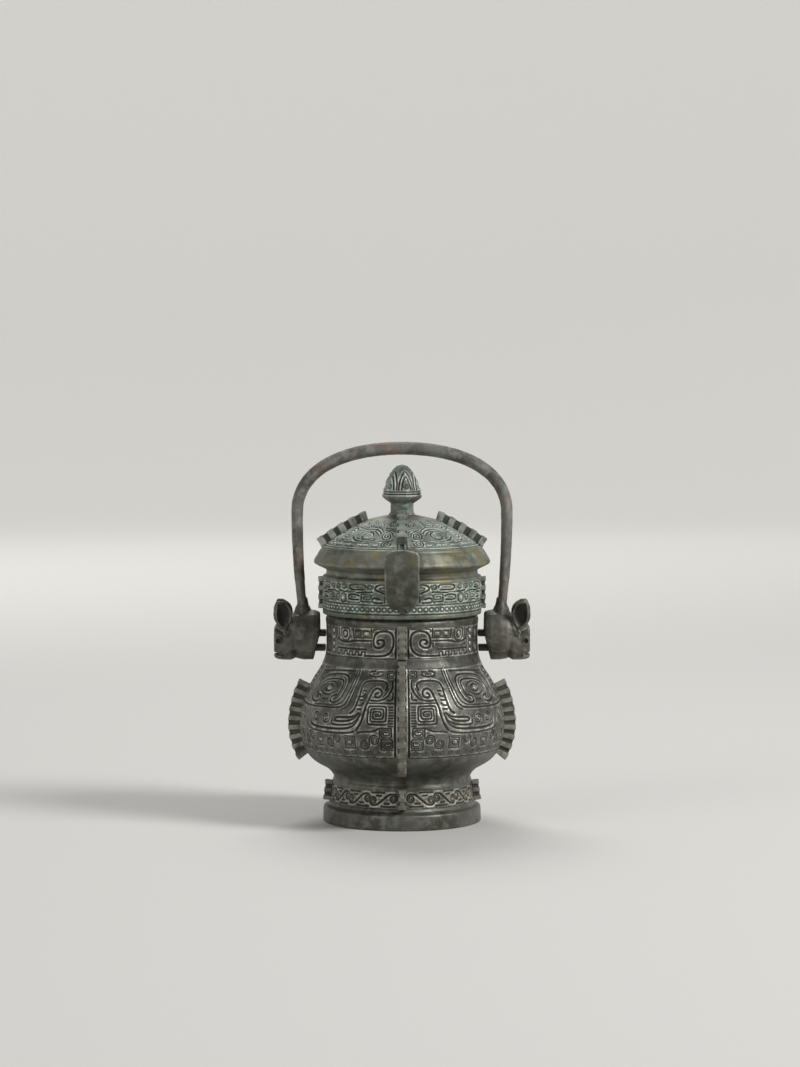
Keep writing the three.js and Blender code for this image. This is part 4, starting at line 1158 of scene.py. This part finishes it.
looks = {
    "belly_bronze": {
        "dark": "3f3e38", "base": "5f5f58", "light": "7c7d77", "patina": "687666", "patinaShare": 0.35,
        "patinaSize": 13, "patinaFrom": 0.58, "warm": "706a4a", "warmFrom": 0.58, "warmShare": 0.4,
        "crevicePatinaAndShade": "191813", "wearAndHighlightColour": "c2c1b7", "wearAndHighlightShare": 0.85, "rough": 0.44, "metal": 0.55, "grain": 0.25,
    },
    "foot_bronze": {
        "dark": "3c3a32", "base": "5c594e", "light": "777468", "patina": "6c8074", "patinaShare": 0.5,
        "patinaSize": 11, "patinaFrom": 0.6, "warm": "776d4c", "warmFrom": 0.56, "warmShare": 0.5,
        "crevicePatinaAndShade": "15140f", "wearAndHighlightColour": "b6b3a6", "wearAndHighlightShare": 0.78, "rough": 0.52, "metal": 0.45, "grain": 0.3,
    },
    "lid_bronze": {
        "dark": "595d55", "base": "7d8379", "light": "989e95", "patina": "8a9e93", "patinaShare": 0.65,
        "patinaSize": 12, "patinaFrom": 0.5, "warm": "84805f", "warmFrom": 0.58, "warmShare": 0.5,
        "crevicePatinaAndShade": "1a1c15", "wearAndHighlightColour": "ccd2c7", "wearAndHighlightShare": 0.9, "rough": 0.6, "metal": 0.3, "grain": 0.35,
    },
    "collar_bronze": {
        "dark": "4b4f47", "base": "70766c", "light": "8b9188", "patina": "74998a", "patinaShare": 0.6,
        "patinaSize": 9, "patinaFrom": 0.54, "warm": "7e785f", "warmFrom": 0.6, "warmShare": 0.45,
        "crevicePatinaAndShade": "15170f", "wearAndHighlightColour": "d2d8cc", "wearAndHighlightShare": 0.95, "rough": 0.6, "metal": 0.3, "grain": 0.35,
    },
    "eave_bronze": {
        "dark": "53534a", "base": "78796c", "light": "919389", "patina": "82958b", "patinaShare": 0.5,
        "patinaSize": 12, "patinaFrom": 0.58, "warm": "8d8553", "warmFrom": 0.51, "warmShare": 0.55,
        "crevicePatinaAndShade": "2b2a22", "wearAndHighlightColour": "b0b1a2", "wearAndHighlightShare": 0.5, "rough": 0.5, "metal": 0.4, "grain": 0.25,
    },
    "knob_bronze": {
        "dark": "5c605a", "base": "838881", "light": "9ea39d", "patina": "7c9284", "patinaShare": 0.65,
        "patinaSize": 7, "patinaFrom": 0.54, "warm": "87826e", "warmFrom": 0.6, "warmShare": 0.4,
        "crevicePatinaAndShade": "1a1d15", "wearAndHighlightColour": "d0d4cb", "wearAndHighlightShare": 0.85, "rough": 0.6, "metal": 0.25, "grain": 0.4,
    },
    "bail_bronze": {
        "dark": "4c4742", "base": "777570", "light": "979690", "patina": "6c8d7e", "patinaShare": 0.6,
        "patinaSize": 9, "patinaFrom": 0.55, "warm": "80695f", "warmFrom": 0.52, "warmShare": 0.55,
        "crevicePatinaAndShade": "25231e", "wearAndHighlightColour": "b0afa9", "wearAndHighlightShare": 0.55, "rough": 0.66, "metal": 0.3, "grain": 0.8,
    },
    "head_bronze": {
        "dark": "3f3d36", "base": "625f56", "light": "7e7c72", "patina": "5c7d69", "patinaShare": 0.55,
        "patinaSize": 9, "patinaFrom": 0.6, "warm": "706848", "warmFrom": 0.58, "warmShare": 0.45,
        "crevicePatinaAndShade": "181610", "wearAndHighlightColour": "bcbaae", "wearAndHighlightShare": 0.75, "rough": 0.5, "metal": 0.45, "grain": 0.35,
    },
    "lug_bronze": {
        "dark": "45443d", "base": "5e5d55", "light": "74736b", "patina": "5c6a5f", "patinaShare": 0.4,
        "patinaSize": 9, "patinaFrom": 0.57, "warm": "625c46", "warmFrom": 0.58, "warmShare": 0.4,
        "crevicePatinaAndShade": "2a2822", "wearAndHighlightColour": "8a887c", "wearAndHighlightShare": 0.4, "rough": 0.6, "metal": 0.4, "grain": 0.35,
    },
    "horn_bronze": {
        "dark": "494a41", "base": "66685d", "light": "7f8177", "patina": "728274", "patinaShare": 0.5,
        "patinaSize": 14, "patinaFrom": 0.55, "warm": "746f50", "warmFrom": 0.58, "warmShare": 0.5,
        "crevicePatinaAndShade": "25241d", "wearAndHighlightColour": "a6a79b", "wearAndHighlightShare": 0.6, "rough": 0.52, "metal": 0.45, "grain": 0.25,
    },
    "flange_bronze": {
        "dark": "524f46", "base": "78766b", "light": "929186", "patina": "788a7c", "patinaShare": 0.45,
        "patinaSize": 8, "patinaFrom": 0.58, "warm": "776850", "warmFrom": 0.58, "warmShare": 0.5,
        "crevicePatinaAndShade": "34322a", "wearAndHighlightColour": "b2b1a5", "wearAndHighlightShare": 0.8, "rough": 0.5, "metal": 0.4, "grain": 0.3,
    },
    "lid_flange_bronze": {
        "dark": "50524a", "base": "75796f", "light": "8f948a", "patina": "80938a", "patinaShare": 0.6,
        "patinaSize": 8, "patinaFrom": 0.54, "warm": "806b60", "warmFrom": 0.58, "warmShare": 0.5,
        "crevicePatinaAndShade": "34362d", "wearAndHighlightColour": "bcc0b4", "wearAndHighlightShare": 0.8, "rough": 0.57, "metal": 0.35, "grain": 0.35,
    },
}


# Size in mm, detail, roughness and shift of the noises that all the finishes share
patterns = {
    "broad": (34, 3, 0.55), "middle": (7, 4, 0.6, 0.31), "grain": (1.1, 4, 0.65, 0.17),
    "warm": (21, 4, 0.6, 0.73), "warmRun": 0.12, "patina": (5, 0.62, 0.49), "patinaRun": 0.14,
    "pits": 1.9, "bump": 0.5,
}


def bronze(name):
    look = looks[name]
    finish = Finish(name)
    relief = finish.node("ShaderNodeAttribute", {"attribute_name": "relief"}, output=2)
    kinds = ("broad", "middle", "grain", "warm")
    broad, middle, grain, warm = (finish.noise(*patterns[kind]) for kind in kinds)
    tone = finish.blend(finish.mask(broad, 0.34, 0.66), tint(look["dark"]), tint(look["base"]))
    tone = finish.blend(0.7 * finish.mask(middle, 0.42, 0.72), tone, tint(look["light"]))
    warm = look["warmShare"] * finish.mask(warm, look["warmFrom"], look["warmFrom"] + patterns["warmRun"])
    tone = finish.blend(warm, tone, tint(look["warm"]))
    # patina gathers in the low parts
    patina = finish.noise(look["patinaSize"], *patterns["patina"]) + 0.1 * finish.mask(relief, 0.62, 0.2)
    patina = finish.mask(patina, look["patinaFrom"], look["patinaFrom"] + patterns["patinaRun"])
    tone = finish.blend(look["patinaShare"] * patina, tone, tint(look["patina"]))
    tone = finish.blend(0.35 * finish.mask(grain, 0.52, 0.7), tone, tint(look["dark"]))
    # grooves and hollows are painted near black: partly dark patina, partly painted shade
    crevicePatinaAndShade = finish.mask(relief, 0.48, 0.1)
    tone = finish.blend(0.92 * crevicePatinaAndShade, tone, tint(look["crevicePatinaAndShade"]))
    # raised lines are painted pale: partly wear, partly painted highlight
    ridge = finish.mask(relief, 0.6, 0.85) * finish.mask(middle, 0.3, 0.6)
    tone = finish.blend(look["wearAndHighlightShare"] * ridge, tone, tint(look["wearAndHighlightColour"]))
    rough = look["rough"] - 0.1 + 0.2 * grain + 0.18 * patina + 0.1 * crevicePatinaAndShade - 0.1 * ridge
    metal = look["metal"] * (1 - 0.7 * patina) * (1 - 0.6 * crevicePatinaAndShade)
    pits = finish.mask(finish.cells(patterns["pits"]), 0.05, 0.35)
    height = grain + 0.5 * middle + 0.35 * pits
    bump = finish.node("ShaderNodeBump", {}, {
        "Height": height, "Strength": look["grain"], "Distance": patterns["bump"] * mm,
    })
    for socket, value in {"Base Color": tone, "Roughness": rough, "Metallic": metal, "Normal": bump}.items():
        finish.give(finish.shader.inputs[socket], value)
    return finish.material


dressing = {
    "belly_bronze": [vesselWall] + ornaments["belly"] + ornaments["neck"],
    "foot_bronze": ornaments["foot"],
    "lid_bronze": ornaments["dome"],
    "collar_bronze": ornaments["collar"],
    "eave_bronze": [lidShell],
    "knob_bronze": [knob],
    "bail_bronze": [bail],
    "head_bronze": headPieces,
    "lug_bronze": lugPieces,
    "horn_bronze": hornPieces,
    "flange_bronze": flangePieces["vessel"],
    "lid_flange_bronze": flangePieces["lid"],
}
for name, pieces in dressing.items():
    material = bronze(name)
    for piece in pieces:
        piece.data.materials.clear()
        piece.data.materials.append(material)
print("stage: finishes,", len(dressing))


# Pale round floor that curves up into a low backdrop on every side
stageSettings = {
    "floor": 4.4, "curve": 1.4, "height": 2.2, "around": 96, "colour": "cfcdc8", "rough": 0.8,
    "lift": 0.6, "liftRun": (1.4, 4.8), "keyWay": (0.89, -0.46, 0), "keyShare": 0.56,
    "shade": "8f8d89", "shadeRun": (0.6, 3.0),
}


def backdrop():
    floor, curve, around = stageSettings["floor"], stageSettings["curve"], stageSettings["around"]
    section = [(floor * k / 4, 0.0) for k in range(1, 5)]
    for k in range(1, 17):
        angle = math.radians(90 * k / 16)
        section.append((floor + curve * math.sin(angle), curve * (1 - math.cos(angle))))
    section.append((floor + curve, stageSettings["height"]))
    verts = [(0.0, 0.0, 0.0)]
    for r, z in section:
        for k in range(around):
            angle = fullTurn * k / around
            verts.append((r * math.cos(angle), r * math.sin(angle), z))
    faces = []
    for k in range(around):
        n = (k + 1) % around
        faces.append((0, 1 + k, 1 + n))
        for row in range(len(section) - 1):
            low = 1 + row * around
            faces.append((low + k, low + around + k, low + around + n, low + n))
    piece = finishMesh("studio_floor", verts, faces)
    finish = Finish("pale_floor")
    pale = tint(stageSettings["colour"])
    # the far floor is lifted for what sees it, so that it stays as pale as the near floor
    flat = finish.node("ShaderNodeVectorMath", {"operation": "MULTIPLY"}, {0: finish.place, 1: (1, 1, 0)})
    depth = finish.node("ShaderNodeVectorMath", {"operation": "LENGTH"}, {0: flat}, 1)
    toward = finish.node("ShaderNodeVectorMath", {"operation": "DOT_PRODUCT"}, {
        0: flat, 1: stageSettings["keyWay"],
    }, 1)
    ways = finish.node("ShaderNodeLightPath").socket.node.outputs
    camera, glossy, through = (Field(finish, ways["Is " + kind + " Ray"]) for kind in
                               ("Camera", "Glossy", "Transmission"))
    far = finish.mask(depth - stageSettings["keyShare"] * toward, *stageSettings["liftRun"])
    lift = stageSettings["lift"] * far * (camera + glossy + through)
    # the floor is darker where the key lamp stands over it
    shade = finish.mask(toward, *stageSettings["shadeRun"])
    sockets = {
        "Base Color": finish.blend(shade, pale, tint(stageSettings["shade"])),
        "Emission Color": finish.blend(lift, (0, 0, 0, 1), pale),
        "Emission Strength": 1.0,
        "Roughness": stageSettings["rough"],
    }
    for socket, value in sockets.items():
        finish.give(finish.shader.inputs[socket], value)
    piece.data.materials.append(finish.material)


# Place, size and power of the soft lamps, all aimed at the middle of the vessel
lampSettings = {
    "key_lamp": ((2.9, -1.5, 2.4), 1.45, 128),
    "fill_lamp": ((-2.7, -2.4, 1.5), 2.6, 30),
    "top_lamp": ((-0.3, 2.2, 2.9), 1.9, 58),
}
lampAim = (0, 0, 0.14)
roomSettings = {"Color": (0.8, 0.82, 0.85, 1), "Strength": 0.27}

backdrop()
for name, (place, size, power) in lampSettings.items():
    lamp = bpy.data.lights.new(name, "AREA")
    lamp.shape = "DISK"
    lamp.size = size
    lamp.energy = power
    holder = addObject(name, lamp)
    holder.location = place
    x, y, z = (a - p for a, p in zip(lampAim, place))
    holder.rotation_euler = (math.atan2(math.hypot(x, y), -z), 0, math.atan2(-x, y))
    holder.visible_camera = False
world = bpy.data.worlds.new("soft_room")
world.use_nodes = True
for socket, value in roomSettings.items():
    world.node_tree.nodes["Background"].inputs[socket].default_value = value
bpy.context.scene.world = world
bpy.context.scene.view_settings.view_transform = "Standard"


# Camera at the photograph's viewing angle
cameraSettings = {"place": (-0.0015, -2.83, 0.365), "aimHeight": 0.2127, "fieldHeight": 0.790, "sensor": 36}
lens = bpy.data.cameras.new("view_lens")
camera = addObject("view_camera", lens)
x, y, z = cameraSettings["place"]
drop = z - cameraSettings["aimHeight"]
camera.location = (x, y, z)
camera.rotation_euler = (math.pi / 2 - math.atan2(drop, -y), 0, 0)
lens.sensor_fit = "VERTICAL"
lens.sensor_height = cameraSettings["sensor"]
lens.lens = cameraSettings["sensor"] * math.hypot(y, drop) / cameraSettings["fieldHeight"]
lens.clip_end = 50
bpy.context.scene.camera = camera

print("stage: done")
